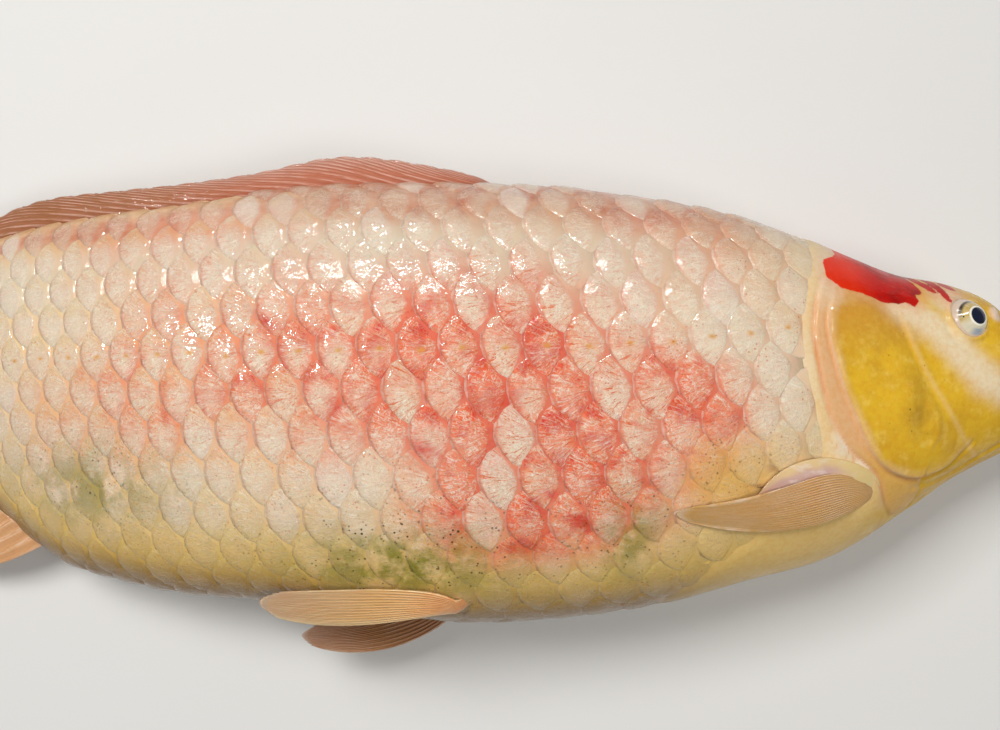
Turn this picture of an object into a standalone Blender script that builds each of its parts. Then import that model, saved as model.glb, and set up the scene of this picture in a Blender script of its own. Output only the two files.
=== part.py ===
# Koi carp, life size, lying on its left side on a flat floor, built in metres with +Z up.
# The snout points along +X, the back towards +Y and the right flank up.
# The body is one shape, cut by thin gaps into head, gill covers, trunk and tail stalk.
# Every point of it is given by a distance behind the snout, an angle round the body
# (0 at the ridge of the back, 90 degrees at mid flank, 180 at the belly) and a lift off the skin.

import math

import bmesh
import bpy
import numpy as np
from mathutils import Vector

MM = 0.001
GAP = 0.3 * MM
FIN_CLEARANCE = 0.5 * MM

# Where the body is divided, behind the snout.
GILL_OPENING = 115 * MM
PELVIC_LINE = 281 * MM
VENT_LINE = 470 * MM
TAIL_ROOT = 595 * MM

# How far the throat end of the gill opening runs forward of its top end.
GILL_SLANT = 34 * MM

# Each outline is a smooth curve through (distance behind the snout, value) in millimetres.
BACK_OUTLINE = (
    (0, -2), (2, 9.5), (8, 18), (17, 26), (30, 36.5), (41, 46), (59, 53), (87, 58.5), (106, 66),
    (134, 77.5), (171, 88), (217, 95.5), (300, 99), (355, 98), (412, 91.5), (503, 77), (540, 62),
    (570, 54), (595, 53),
)
BELLY_OUTLINE = (
    (0, -2), (2, -9), (8, -14), (17, -18), (30, -23.5), (59, -38), (82, -53), (115, -72), (153, -82),
    (190, -92), (245, -99.5), (285, -100), (355, -93), (432, -86), (472, -75), (503, -53),
    (530, -37), (560, -26), (595, -24),
)
HALF_WIDTH = (
    (0, 0), (2, 10), (8, 17.5), (17, 23.5), (30, 29.5), (46, 35), (60, 37.5), (84, 42.5), (115, 47),
    (134, 51.5), (171, 56), (230, 58), (300, 58), (355, 52), (412, 44.5), (472, 33), (510, 24.5),
    (545, 17.5), (570, 14), (595, 12),
)
# Height of the body's mid plane over the floor: the heavy trunk is pressed flat, the tail sags.
MID_PLANE = (
    (0, 42), (60, 46.5), (115, 51.5), (171, 53.5), (230, 54), (300, 54), (355, 49.5), (412, 43),
    (472, 32), (510, 23.5), (545, 16.5), (570, 13.5), (595, 11.5),
)
# Fullness of the cross-section: 2 is an ellipse, more is squarer.
BACK_FULLNESS = ((0, 2.4), (60, 2.5), (140, 2.15), (300, 2.05), (595, 2.0))
BELLY_FULLNESS = ((0, 2.1), (60, 2.0), (140, 2.2), (300, 2.4), (595, 2.0))

RING_POINTS = 36

# Gill covers: the edges run from the top corner down to the throat, (behind snout, height) in mm.
COVER_THICKNESS = 2.2 * MM
COVER_FRONT = ((90, 38), (88, 12), (72, -2), (59, -21))
COVER_REAR = ((113, 42), (128, 22), (112, -38), (64, -28))

# Eyes.
EYE_RADIUS = 8.4 * MM
EYE_DISTANCE = 56.5 * MM
EYE_HEIGHT = 37 * MM
EYE_SINK = 4.8 * MM
EYE_SEGMENTS = 18
EYE_RINGS = 12

# Mouth: the lower jaw is parted along a line that drops towards the corner of the mouth.
JAW_LENGTH = 26 * MM
JAW_TOP = -7 * MM
JAW_TILT = math.radians(10)

# Barbels: (behind snout, height, length) in mm, tapering from root to tip.
BARBELS = {"front": (7, 3, 9), "rear": (17, -6, 19)}
BARBEL_ROOT_RADIUS = 1.3 * MM
BARBEL_TIP_RADIUS = 0.5 * MM
BARBEL_POINTS = 9

# Dorsal fin folded along the back: height over the back line.
DORSAL_HEIGHT = (
    (264, 2), (290, 7), (336, 12.7), (374, 8.7), (440, 9.5), (505, 10), (534, 5),
)
DORSAL_BASE_END = 492 * MM
DORSAL_THICKNESS = 2.4 * MM
DORSAL_LEAN = 0.12
FIN_EDGE_THICKNESS = 1.0 * MM
FIN_THICKNESS = 1.6 * MM

# Caudal fin, in two lobes that meet along the middle of the tail: (behind snout, height) in mm.
CAUDAL_LENGTH = 128 * MM
CAUDAL_THICKNESS = 4.0 * MM
UPPER_LOBE_OUTER = ((595, 52), (632, 60), (672, 90), (710, 100))
UPPER_LOBE_INNER = ((595, 14.7), (684, 14.7), (664, 38), (723, 83))
LOWER_LOBE_OUTER = ((595, -23), (632, -31), (670, -61), (705, -71))
LOWER_LOBE_INNER = ((595, 14.3), (682, 14.3), (662, -10), (719, -54))

# Pectoral fin laid back along the flank: upper and lower edge, (behind snout, height) in mm.
PECTORAL_UPPER = ((104, -27), (140, -20), (146, -40), (188, -45))
PECTORAL_LOWER = ((101, -46), (122, -62), (150, -57), (187, -50))
PECTORAL_ARCH = 4.0 * MM

# Pelvic fins trail back beside the belly: (behind snout, angle in degrees, lift in mm).
PELVIC_INNER = {
    "right": ((285, 150, 0.8), (310, 150, 2), (340, 151, 3), (371, 154, 4)),
    "left": ((285, 152, 0.8), (310, 154, 4), (335, 160, 10), (357, 168, 15)),
}
PELVIC_OUTER = {
    "right": ((283, 161, 0.8), (310, 168, 8), (350, 172, 13), (371, 165, 5)),
    "left": ((283, 163, 0.8), (300, 172, 18), (340, 176, 28), (359, 172, 19)),
}

# Anal fin: root along the belly line, tip trailing back.
ANAL_ROOT_START = 479 * MM
ANAL_ROOT_END = 522 * MM
ANAL_TIP_FRONT = (545, -80)
ANAL_TIP_REAR = (552, -70)

MATERIALS = {
    "cream skin": ((0.78, 0.60, 0.40), 0.35, 0.0),
    "yellow skin": ((0.66, 0.42, 0.09), 0.30, 0.0),
    "fin": ((0.66, 0.34, 0.15), 0.40, 0.0),
    "barbel": ((0.70, 0.48, 0.22), 0.40, 0.0),
    "eye": ((0.03, 0.03, 0.04), 0.08, 0.0),
}


def clear_scene():
    for item in list(bpy.data.objects):
        bpy.data.objects.remove(item, do_unlink=True)


def make_materials():
    made = {}
    for name, (colour, roughness, metallic) in MATERIALS.items():
        material = bpy.data.materials.new(name)
        material.use_nodes = True
        shader = material.node_tree.nodes["Principled BSDF"]
        shader.inputs["Base Color"].default_value = (*colour, 1.0)
        shader.inputs["Roughness"].default_value = roughness
        shader.inputs["Metallic"].default_value = metallic
        made[name] = material
    return made


# Smooth curve through knots. It runs over the square root of the distance,
# which rounds the body off at the snout.
def outline(knots):
    distances, values = np.array(knots, dtype=float).T * MM
    roots = np.sqrt(distances)
    slopes = np.gradient(values, roots)

    def value_at(distance):
        root = math.sqrt(min(max(distance, distances[0]), distances[-1]))
        i = min(int(np.searchsorted(roots, root, side="right")) - 1, len(roots) - 2)
        span = roots[i + 1] - roots[i]
        t = (root - roots[i]) / span
        start = (2 * t**3 - 3 * t**2 + 1) * values[i] + (t**3 - 2 * t**2 + t) * span * slopes[i]
        end = (3 * t**2 - 2 * t**3) * values[i + 1] + (t**3 - t**2) * span * slopes[i + 1]
        return float(start + end)

    return value_at


back_at = outline(BACK_OUTLINE)
belly_at = outline(BELLY_OUTLINE)
half_width_at = outline(HALF_WIDTH)
mid_plane_at = outline(MID_PLANE)
dorsal_height_at = outline(DORSAL_HEIGHT)


def fullness_at(distance, is_back):
    knots = np.array(BACK_FULLNESS if is_back else BELLY_FULLNESS)
    return float(np.interp(distance / MM, knots[:, 0], knots[:, 1]))


def signed_power(value, power):
    return math.copysign(abs(value) ** power, value)


# A point of the body: x is towards the snout, y is towards the back, z is up.
def skin_point(distance, angle, lift=0.0):
    top = back_at(distance)
    bottom = belly_at(distance)
    level = (top + bottom) / 2
    reach = max((top - bottom) / 2, 1e-6)
    width = max(half_width_at(distance), 1e-6)
    up = math.cos(angle)
    side = math.sin(angle)
    fullness = fullness_at(distance, up >= 0)
    height = signed_power(up, 2 / fullness)
    spread = signed_power(side, 2 / fullness)
    normal_height = signed_power(height, fullness - 1) / reach
    normal_spread = signed_power(spread, fullness - 1) / width
    length = math.hypot(normal_height, normal_spread)
    y = level + reach * height + lift * normal_height / length
    z = mid_plane_at(distance) + width * spread + lift * normal_spread / length
    return Vector((-distance, y, max(z, 0.0)))


# The angle round the body at which the skin has a given height.
def angle_of(distance, height):
    top = back_at(distance)
    bottom = belly_at(distance)
    part = (height - (top + bottom) / 2) / ((top - bottom) / 2)
    part = min(max(part, -1.0), 1.0)
    return math.acos(signed_power(part, fullness_at(distance, part >= 0) / 2))


def bezier(points, t):
    weights = ((1 - t) ** 3, 3 * t * (1 - t) ** 2, 3 * t**2 * (1 - t), t**3)
    return tuple(sum(w * p[k] for w, p in zip(weights, points)) for k in range(len(points[0])))


def add_object(name, mesh, material, parent):
    made = bpy.data.objects.new(name, mesh)
    bpy.context.collection.objects.link(made)
    made.parent = parent
    made.data.materials.append(material)
    return made


def mesh_from(name, bm, smooth_angle=40):
    bmesh.ops.recalc_face_normals(bm, faces=bm.faces)
    mesh = bpy.data.meshes.new(name)
    bm.to_mesh(mesh)
    bm.free()
    mesh.shade_smooth()
    mesh.set_sharp_from_angle(angle=math.radians(smooth_angle))
    return mesh


# Closed loft through rings of equal point counts. A ring of one point closes to a tip.
def loft_mesh(name, rings):
    bm = bmesh.new()
    loops = [[bm.verts.new(point) for point in ring] for ring in rings]
    for near, far in zip(loops, loops[1:]):
        for i in range(max(len(near), len(far))):
            near_pair = (near[i % len(near)], near[(i + 1) % len(near)])
            far_pair = (far[(i + 1) % len(far)], far[i % len(far)])
            bm.faces.new(dict.fromkeys(near_pair + far_pair))
    for loop in (loops[0], loops[-1]):
        if len(loop) > 1:
            centre = bm.verts.new(sum((v.co for v in loop), Vector()) / len(loop))
            for i, vert in enumerate(loop):
                bm.faces.new((vert, loop[(i + 1) % len(loop)], centre))
    return mesh_from(name, bm)


# How far a ring point sits forward of the ring's top, for the slanted gill opening.
def gill_slant(angle):
    below = max(0.0, (0.3 - math.cos(angle)) / 1.3)
    return GILL_SLANT * below**2


def body_ring(distance, slant):
    ring = []
    for i in range(RING_POINTS):
        angle = 2 * math.pi * i / RING_POINTS
        ring.append(skin_point(distance - slant * gill_slant(angle), angle))
    return ring


# A length of the body. slant_start and slant_end tell how much each end leans with the gill opening.
def body_length(name, start, end, rings, slant_start=0.0, slant_end=0.0):
    loops = []
    for i in range(rings + 1):
        t = i / rings
        slant = slant_start + (slant_end - slant_start) * t
        loops.append(body_ring(start + (end - start) * t, slant))
    return loft_mesh(name, loops)


def head_mesh(name):
    rings = 15
    loops = [[skin_point(0.0, 0.0)]]
    for i in range(1, rings + 1):
        t = 1 - math.cos(math.pi / 2 * i / rings)
        loops.append(body_ring(GILL_OPENING * t, t**2))
    return loft_mesh(name, loops)


# A closed thin solid between two edges. point_at(u, v, face) gives its outer and inner face.
def shell_mesh(name, point_at, rows, columns):
    bm = bmesh.new()
    grids = []
    for face in (0, 1):
        grid = [[bm.verts.new(point_at(i / rows, j / columns, face)) for j in range(columns + 1)]
                for i in range(rows + 1)]
        grids.append(grid)
    for grid in grids:
        for i in range(rows):
            for j in range(columns):
                bm.faces.new((grid[i][j], grid[i + 1][j], grid[i + 1][j + 1], grid[i][j + 1]))
    rim = [(i, 0) for i in range(rows)] + [(rows, j) for j in range(columns)]
    rim += [(i, columns) for i in range(rows, 0, -1)] + [(0, j) for j in range(columns, 0, -1)]
    for (i, j), (k, m) in zip(rim, rim[1:] + rim[:1]):
        bm.faces.new((grids[0][i][j], grids[0][k][m], grids[1][k][m], grids[1][i][j]))
    return mesh_from(name, bm)


# Thin plate on the skin between two edge curves given as (behind snout, height).
def plate_on_skin(name, edge_a, edge_b, side, lift_at, thickness_at, rows, columns):
    def point_at(u, v, face):
        near = bezier(edge_a, u)
        far = bezier(edge_b, u)
        distance = (near[0] + (far[0] - near[0]) * v) * MM
        height = (near[1] + (far[1] - near[1]) * v) * MM
        lift = lift_at(u, v) + face * thickness_at(u, v)
        return skin_point(distance, side * angle_of(distance, height), lift)

    return shell_mesh(name, point_at, rows, columns)


# Thin blade between two edge curves in space, with equal thickness on both of its faces.
def blade_mesh(name, edge_a, edge_b, thickness_at, rows, columns):
    def middle_at(u, v):
        return edge_a(u).lerp(edge_b(u), v)

    def point_at(u, v, face):
        step = 0.01
        along = middle_at(min(u + step, 1), v) - middle_at(max(u - step, 0), v)
        across = edge_b(u) - edge_a(u)
        if across.length < 1e-6:
            across = edge_b(u - step) - edge_a(u - step)
        normal = along.cross(across).normalized()
        point = middle_at(u, v) + normal * thickness_at(u, v) * (face - 0.5)
        return Vector((point.x, point.y, max(point.z, 0.0)))

    return shell_mesh(name, point_at, rows, columns)


def taper(root, tip):
    return lambda u, v: root + (tip - root) * u


def hide_cutter(cutter):
    cutter.hide_render = True
    cutter.display_type = "WIRE"


def add_boolean(target, cutter, operation):
    modifier = target.modifiers.new(f"{operation} {cutter.name}", "BOOLEAN")
    modifier.operation = operation
    modifier.solver = "EXACT"
    modifier.object = cutter


# Block that holds everything below the mouth line and in front of the jaw's rear end.
def add_jaw_block(name, grow, parent, material):
    bm = bmesh.new()
    bmesh.ops.create_cube(bm, size=1.0)
    depth = 80 * MM
    bmesh.ops.scale(bm, vec=(JAW_LENGTH * 2 + 2 * grow, depth, 200 * MM), verts=bm.verts)
    bmesh.ops.translate(bm, vec=(0, grow - depth / 2, 0), verts=bm.verts)
    mesh = mesh_from(name, bm)
    block = add_object(name, mesh, material, parent)
    block.location = (0, JAW_TOP, mid_plane_at(0))
    block.rotation_euler = (0, 0, JAW_TILT)
    hide_cutter(block)
    return block


def eye_centre(side):
    return skin_point(EYE_DISTANCE, side * angle_of(EYE_DISTANCE, EYE_HEIGHT), -EYE_SINK)


def ball_mesh(name, radius, segments, rings):
    bm = bmesh.new()
    bmesh.ops.create_uvsphere(bm, u_segments=segments, v_segments=rings, radius=radius)
    return mesh_from(name, bm, 60)


def add_head(parent, skins):
    head = add_object("head", head_mesh("head"), skins["yellow skin"], parent)
    jaw = add_object("lower_jaw", head_mesh("lower_jaw"), skins["yellow skin"], parent)
    add_boolean(jaw, add_jaw_block("jaw_keep", 0.0, parent, skins["yellow skin"]), "INTERSECT")
    add_boolean(head, add_jaw_block("jaw_clear", GAP, parent, skins["yellow skin"]), "DIFFERENCE")
    for side, word in ((1, "right"), (-1, "left")):
        eye_mesh = ball_mesh("eye", EYE_RADIUS, EYE_SEGMENTS, EYE_RINGS)
        eye = add_object(f"eye_{word}", eye_mesh, skins["eye"], parent)
        eye.location = eye_centre(side)
        socket_mesh = ball_mesh("socket", EYE_RADIUS + GAP, EYE_SEGMENTS, EYE_RINGS)
        socket = add_object(f"socket_{word}", socket_mesh, skins["eye"], parent)
        socket.location = eye.location
        hide_cutter(socket)
        add_boolean(head, socket, "DIFFERENCE")


def add_gill_covers(parent, skins):
    def lift(u, v):
        return FIN_CLEARANCE

    def thickness(u, v):
        return COVER_THICKNESS

    for side, word in ((1, "right"), (-1, "left")):
        mesh = plate_on_skin("cover", COVER_FRONT, COVER_REAR, side, lift, thickness, 12, 8)
        add_object(f"gill_cover_{word}", mesh, skins["yellow skin"], parent)


# Each barbel trails back and down along the skin, standing off it more towards its tip.
def add_barbels(parent, skins):
    for side, word in ((1, "right"), (-1, "left")):
        for place, (distance, height, length) in BARBELS.items():
            line = bpy.data.curves.new(f"barbel_{place}_{word}", "CURVE")
            line.dimensions = "3D"
            line.bevel_depth = 1.0
            line.bevel_resolution = 2
            line.use_fill_caps = True
            spline = line.splines.new("POLY")
            spline.points.add(BARBEL_POINTS - 1)
            for i, point in enumerate(spline.points):
                t = i / (BARBEL_POINTS - 1)
                along = (distance + 0.75 * length * t) * MM
                angle = side * angle_of(along, (height - 0.6 * length * t) * MM)
                lift = BARBEL_ROOT_RADIUS + FIN_CLEARANCE + 0.3 * length * t * MM
                point.co = (*skin_point(along, angle, lift), 1.0)
                point.radius = BARBEL_ROOT_RADIUS + (BARBEL_TIP_RADIUS - BARBEL_ROOT_RADIUS) * t
            add_object(line.name, line, skins["barbel"], parent)


def add_trunk(parent, skins):
    lengths = (
        ("trunk_front", GILL_OPENING + GAP, PELVIC_LINE, 14, 1.0),
        ("trunk_rear", PELVIC_LINE + GAP, VENT_LINE, 13, 0.0),
        ("tail_stalk", VENT_LINE + GAP, TAIL_ROOT, 11, 0.0),
    )
    for name, start, end, rings, slant_start in lengths:
        mesh = body_length(name, start, end, rings, slant_start)
        add_object(name, mesh, skins["cream skin"], parent)


# The dorsal fin's two edges: its foot on the ridge of the back and its folded top.
def add_dorsal_fin(parent, skins):
    start = DORSAL_HEIGHT[0][0] * MM
    end = DORSAL_HEIGHT[-1][0] * MM

    def foot(u):
        distance = start + (end - start) * u
        free = max(0.0, distance - DORSAL_BASE_END)
        return Vector((-distance, back_at(distance) + FIN_CLEARANCE + free * 0.12, mid_plane_at(distance)))

    def top(u):
        distance = start + (end - start) * u
        height = dorsal_height_at(distance)
        return Vector((-distance, back_at(distance) + height, mid_plane_at(distance) + DORSAL_LEAN * height))

    def thickness(u, v):
        return DORSAL_THICKNESS + (FIN_EDGE_THICKNESS - DORSAL_THICKNESS) * v

    mesh = blade_mesh("dorsal_fin", foot, top, thickness, 34, 2)
    add_object("dorsal_fin", mesh, skins["fin"], parent)


# A caudal lobe sinks from the mid plane of the tail to the floor.
def caudal_edge(points):
    def edge(u):
        distance, height = bezier(points, u)
        part = min(max((distance * MM - TAIL_ROOT) / (0.6 * CAUDAL_LENGTH), 0.0), 1.0)
        flat = FIN_EDGE_THICKNESS / 2
        level = flat + (mid_plane_at(TAIL_ROOT) - flat) * (1 - part**2) ** 2
        return Vector((-distance * MM - FIN_CLEARANCE, height * MM, level))

    return edge


def add_caudal_fin(parent, skins):
    lobes = (
        ("caudal_fin_upper", UPPER_LOBE_OUTER, UPPER_LOBE_INNER),
        ("caudal_fin_lower", LOWER_LOBE_OUTER, LOWER_LOBE_INNER),
    )
    for name, outer, inner in lobes:
        thickness = taper(CAUDAL_THICKNESS, FIN_EDGE_THICKNESS)
        mesh = blade_mesh(name, caudal_edge(outer), caudal_edge(inner), thickness, 12, 6)
        add_object(name, mesh, skins["fin"], parent)


def add_pectoral_fins(parent, skins):
    for side, word in ((1, "right"), (-1, "left")):
        arch = PECTORAL_ARCH if side > 0 else PECTORAL_ARCH / 4

        def lift(u, v):
            return FIN_CLEARANCE + arch * math.sin(math.pi * u) * (1 - v / 2)

        thickness = taper(FIN_THICKNESS, FIN_EDGE_THICKNESS)
        mesh = plate_on_skin("pectoral", PECTORAL_UPPER, PECTORAL_LOWER, side, lift, thickness, 14, 5)
        add_object(f"pectoral_fin_{word}", mesh, skins["fin"], parent)


def add_pelvic_fins(parent, skins):
    def edge_on(points, side):
        def edge(u):
            distance, angle, lift = bezier(points, u)
            return skin_point(distance * MM, side * math.radians(angle), lift * MM + FIN_THICKNESS)

        return edge

    for side, word in ((1, "right"), (-1, "left")):
        thickness = taper(FIN_THICKNESS, FIN_EDGE_THICKNESS)
        inner = edge_on(PELVIC_INNER[word], side)
        outer = edge_on(PELVIC_OUTER[word], side)
        mesh = blade_mesh("pelvic", inner, outer, thickness, 14, 5)
        add_object(f"pelvic_fin_{word}", mesh, skins["fin"], parent)


def add_anal_fin(parent, skins):
    def root(u):
        distance = ANAL_ROOT_START + (ANAL_ROOT_END - ANAL_ROOT_START) * u
        return Vector((-distance, belly_at(distance) - FIN_CLEARANCE, mid_plane_at(distance)))

    def tip(u):
        front = Vector((-ANAL_TIP_FRONT[0], ANAL_TIP_FRONT[1], 0)) * MM
        rear = Vector((-ANAL_TIP_REAR[0], ANAL_TIP_REAR[1], 0)) * MM
        point = front.lerp(rear, u)
        point.z = mid_plane_at(-point.x)
        return point

    def ray(v):
        def edge(u):
            bow = Vector((0, -7 * MM * math.sin(math.pi * u) * (1 - v), 0))
            return root(v).lerp(tip(v), u) + bow

        return edge

    thickness = taper(FIN_THICKNESS, FIN_EDGE_THICKNESS)

    def point_at(u, v, face):
        point = ray(v)(u)
        point.z += thickness(u, v) * (face - 0.5)
        return point

    mesh = shell_mesh("anal_fin", point_at, 10, 5)
    add_object("anal_fin", mesh, skins["fin"], parent)


# Moves the whole animal so that the middle of its bounding box's base is the origin.
def centre_on_floor(parent):
    bpy.context.view_layer.update()
    graph = bpy.context.evaluated_depsgraph_get()
    points = []
    for item in parent.children:
        if item.display_type == "WIRE":
            continue
        mesh = item.evaluated_get(graph).to_mesh()
        points += [item.matrix_world @ vert.co for vert in mesh.vertices]
    low = Vector(min(point[k] for point in points) for k in range(3))
    high = Vector(max(point[k] for point in points) for k in range(3))
    middle = (low + high) / 2
    parent.location = (-middle.x, -middle.y, -low.z)
    bpy.context.view_layer.update()


def main():
    clear_scene()
    skins = make_materials()
    carp = bpy.data.objects.new("koi_carp", None)
    bpy.context.collection.objects.link(carp)
    add_head(carp, skins)
    add_gill_covers(carp, skins)
    add_barbels(carp, skins)
    add_trunk(carp, skins)
    add_dorsal_fin(carp, skins)
    add_caudal_fin(carp, skins)
    add_pectoral_fins(carp, skins)
    add_pelvic_fins(carp, skins)
    add_anal_fin(carp, skins)
    centre_on_floor(carp)


main()
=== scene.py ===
# A koi carp dressed for display: one skin, overlapping scales, rayed fins, eyes and barbels.
import math

import bmesh
import bpy
import numpy as np
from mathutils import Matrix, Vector


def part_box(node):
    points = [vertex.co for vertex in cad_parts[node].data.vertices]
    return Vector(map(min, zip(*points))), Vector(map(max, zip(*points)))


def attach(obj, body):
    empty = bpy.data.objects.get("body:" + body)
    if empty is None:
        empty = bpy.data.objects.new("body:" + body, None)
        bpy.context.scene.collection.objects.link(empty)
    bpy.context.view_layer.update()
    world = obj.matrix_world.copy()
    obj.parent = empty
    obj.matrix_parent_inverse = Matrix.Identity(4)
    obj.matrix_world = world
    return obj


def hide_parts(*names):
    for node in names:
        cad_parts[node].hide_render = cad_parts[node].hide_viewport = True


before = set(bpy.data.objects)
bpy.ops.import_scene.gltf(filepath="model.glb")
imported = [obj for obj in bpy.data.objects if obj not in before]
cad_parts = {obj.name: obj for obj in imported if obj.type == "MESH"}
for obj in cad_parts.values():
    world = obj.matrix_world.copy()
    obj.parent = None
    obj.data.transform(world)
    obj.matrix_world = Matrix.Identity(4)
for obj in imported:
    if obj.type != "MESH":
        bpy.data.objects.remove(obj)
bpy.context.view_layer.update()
mm = 0.001

# body shape, in mm
body = {
    "backLine": [(0, -2), (2, 9.5), (8, 18), (17, 26), (30, 36.5), (41, 46), (59, 53), (87, 58.5), (106, 66),
                 (134, 77.5), (171, 88), (217, 95.5), (300, 99), (355, 98), (412, 91.5), (503, 77), (540, 62),
                 (570, 54), (595, 53)],
    "bellyLine": [(0, -2), (2, -9), (8, -14), (17, -18), (30, -23.5), (59, -38), (82, -53), (115, -72),
                  (153, -82), (190, -92), (245, -99.5), (285, -100), (355, -93), (432, -86), (472, -75),
                  (503, -53), (530, -37), (560, -26), (595, -24)],
    "halfWidth": [(0, 0), (2, 10), (8, 17.5), (17, 23.5), (30, 29.5), (46, 35), (60, 37.5), (84, 42.5),
                  (115, 47), (134, 51.5), (171, 56), (230, 58), (300, 58), (355, 52), (412, 44.5), (472, 33),
                  (510, 24.5), (545, 17.5), (570, 14), (595, 12)],
    "midPlane": [(0, 42), (60, 46.5), (115, 51.5), (171, 53.5), (230, 54), (300, 54), (355, 49.5), (412, 43),
                 (472, 32), (510, 23.5), (545, 16.5), (570, 13.5), (595, 11.5)],
    "backFullness": [(0, 2.4), (60, 2.5), (140, 2.15), (300, 2.05), (595, 2.0)],
    "bellyFullness": [(0, 2.1), (60, 2.0), (140, 2.2), (300, 2.4), (595, 2.0)],
    "sideLine": [(0, 40), (115, 37), (137, 33), (180, 27.5), (240, 24), (300, 23.8), (410, 21), (460, 19.6),
                 (540, 16), (600, 14.5)],
    "tailRoot": 595,
    "deepest": 270.0,       # where the belly reaches the side of the front trunk's box
    "coatDepth": 1.8,       # the skin lies this far inside the solids under the scales
    "floorGap": 1.9,        # and this far over the floor where the flank is pressed flat
}


def smoothLine(knots):
    # smooth curve through knots, over the square root of the distance so that the snout comes out round
    distances, values = np.array(knots, dtype=float).T
    roots = np.sqrt(distances)
    slopes = np.gradient(values, roots)
    table = np.linspace(roots[0], roots[-1], 4000)
    i = np.clip(np.searchsorted(roots, table, side="right") - 1, 0, len(roots) - 2)
    span = roots[i + 1] - roots[i]
    t = (table - roots[i]) / span
    start = (2 * t**3 - 3 * t**2 + 1) * values[i] + (t**3 - 2 * t**2 + t) * span * slopes[i]
    end = (3 * t**2 - 2 * t**3) * values[i + 1] + (t**3 - t**2) * span * slopes[i + 1]
    curve = start + end
    return lambda s: np.interp(np.sqrt(np.clip(s, 0, None)), table, curve)


backLine = smoothLine(body["backLine"])
bellyLine = smoothLine(body["bellyLine"])
halfWidth = smoothLine(body["halfWidth"])
midPlane = smoothLine(body["midPlane"])
sideLine = smoothLine(body["sideLine"])

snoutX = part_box("head")[1][0]
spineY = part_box("trunk_front")[0][1] - float(bellyLine(body["deepest"])) * mm


def knotsAt(knots, s):
    places, values = np.array(knots, dtype=float).T
    return np.interp(s, places, values)


def signedPower(value, power):
    return np.copysign(np.abs(value) ** power, value)


def smooth(x):
    x = np.clip(x, 0, 1)
    return x * x * (3 - 2 * x)


def bell(x):
    return np.exp(-x * x)


def blob(s, h, centre, reach):
    return bell(np.hypot((s - centre[0]) / reach[0], (h - centre[1]) / reach[1]))


def sectionAt(s, angle):
    # height, sideways reach and outward normal of the body's section, in mm
    s, angle = np.broadcast_arrays(np.asarray(s, dtype=float), np.asarray(angle, dtype=float))
    top, bottom = backLine(s), bellyLine(s)
    level = (top + bottom) / 2
    reach = np.maximum((top - bottom) / 2, 1e-3)
    width = np.maximum(halfWidth(s), 1e-3)
    up, side = np.cos(angle), np.sin(angle)
    full = np.where(up >= 0, knotsAt(body["backFullness"], s), knotsAt(body["bellyFullness"], s))
    height, spread = signedPower(up, 2 / full), signedPower(side, 2 / full)
    normalUp = signedPower(height, full - 1) / reach
    normalSide = signedPower(spread, full - 1) / width
    size = np.hypot(normalUp, normalSide)
    return level + reach * height, width * spread, normalUp / size, normalSide / size


def bodyPoints(s, angle, lift=0.0, clear=0.0):
    # points of the body in metres: x towards the snout, y towards the back, z up
    h, w, normalUp, normalSide = sectionAt(s, angle)
    y = h + lift * normalUp
    z = midPlane(s) + w + lift * normalSide
    soft = 0.35
    z = clear + soft * np.logaddexp(0, (z - clear) / soft)
    x = np.broadcast_to(np.asarray(s, dtype=float), y.shape)
    return np.stack([snoutX - x * mm, spineY + y * mm, z * mm], axis=-1)


def angleOf(s, h):
    top, bottom = backLine(s), bellyLine(s)
    part = np.clip((h - (top + bottom) / 2) / ((top - bottom) / 2), -1, 1)
    full = np.where(part >= 0, knotsAt(body["backFullness"], s), knotsAt(body["bellyFullness"], s))
    return np.arccos(np.clip(signedPower(part, full / 2), -1, 1))


# angles at even steps of length round each section, and the length from the ridge to any angle
fineAngles = np.linspace(0, math.pi, 361)


def arcTable(s):
    s = np.asarray(s, dtype=float)
    h, w, _, _ = sectionAt(s[:, None], fineAngles[None, :])
    step = np.hypot(np.diff(h, axis=1), np.diff(w, axis=1))
    return np.concatenate([np.zeros((len(s), 1)), np.cumsum(step, axis=1)], axis=1)


# lines on the head, as (behind snout, height) in mm
headLines = {
    "coverEdge": [(119, 50), (124, 38), (124.8, 30), (122.8, 19), (119.3, 7), (114, -5.4), (108, -17.8),
                  (101, -26.4), (92.4, -31.2), (82.5, -32.8), (73, -31), (64, -26.2), (56, -18)],
    "coverInner": [(60, 0), (72, 18), (80, 40), (90, 56)],
    "membraneEdge": [(121, 60), (128, 46), (131, 34), (131, 27), (129.6, 17), (127.4, 6), (123.6, -6.5),
                     (117.6, -17), (110.5, -23.5), (103.4, -29.3), (99, -36.3), (95.5, -44), (91, -49.6),
                     (85.5, -49), (81, -45), (79.3, -39), (80, -32)],
    "membraneInner": [(75, -20), (85, 20), (100, 60)],
    "cheekRidge": [(93, 46), (89, 35), (85.7, 24.6), (80, 12.1), (72, -0.3), (65, -10), (58.5, -18),
                   (52, -24)],
    "underEye": [(69, 32), (64, 25), (56, 21), (46, 23), (37, 27)],
    "dimpleRidge": [(78, -1), (75, -7), (75, -13), (78, -18)],
    "jawFoldUpper": [(84, -37), (72, -35.5), (60, -31), (48, -24), (36, -17)],
    "jawFoldLower": [(78, -45), (68, -40.5), (58, -35), (47, -28.5), (34, -22)],
    "mouth": [(0, -3), (6, -5), (13, -7.5), (20, -11.5)],
    "lipFold": [(1, 8), (8, 5), (16, 0), (23, -7), (25, -13)],
    "chinFold": [(4, -12), (12, -14), (20, -17), (27, -21)],
    # the line along which a shadow behind the pectoral fin's foot is painted
    "axil": [(157, -40), (151, -30.5), (143.5, -25), (134, -22.5)],
}


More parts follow.
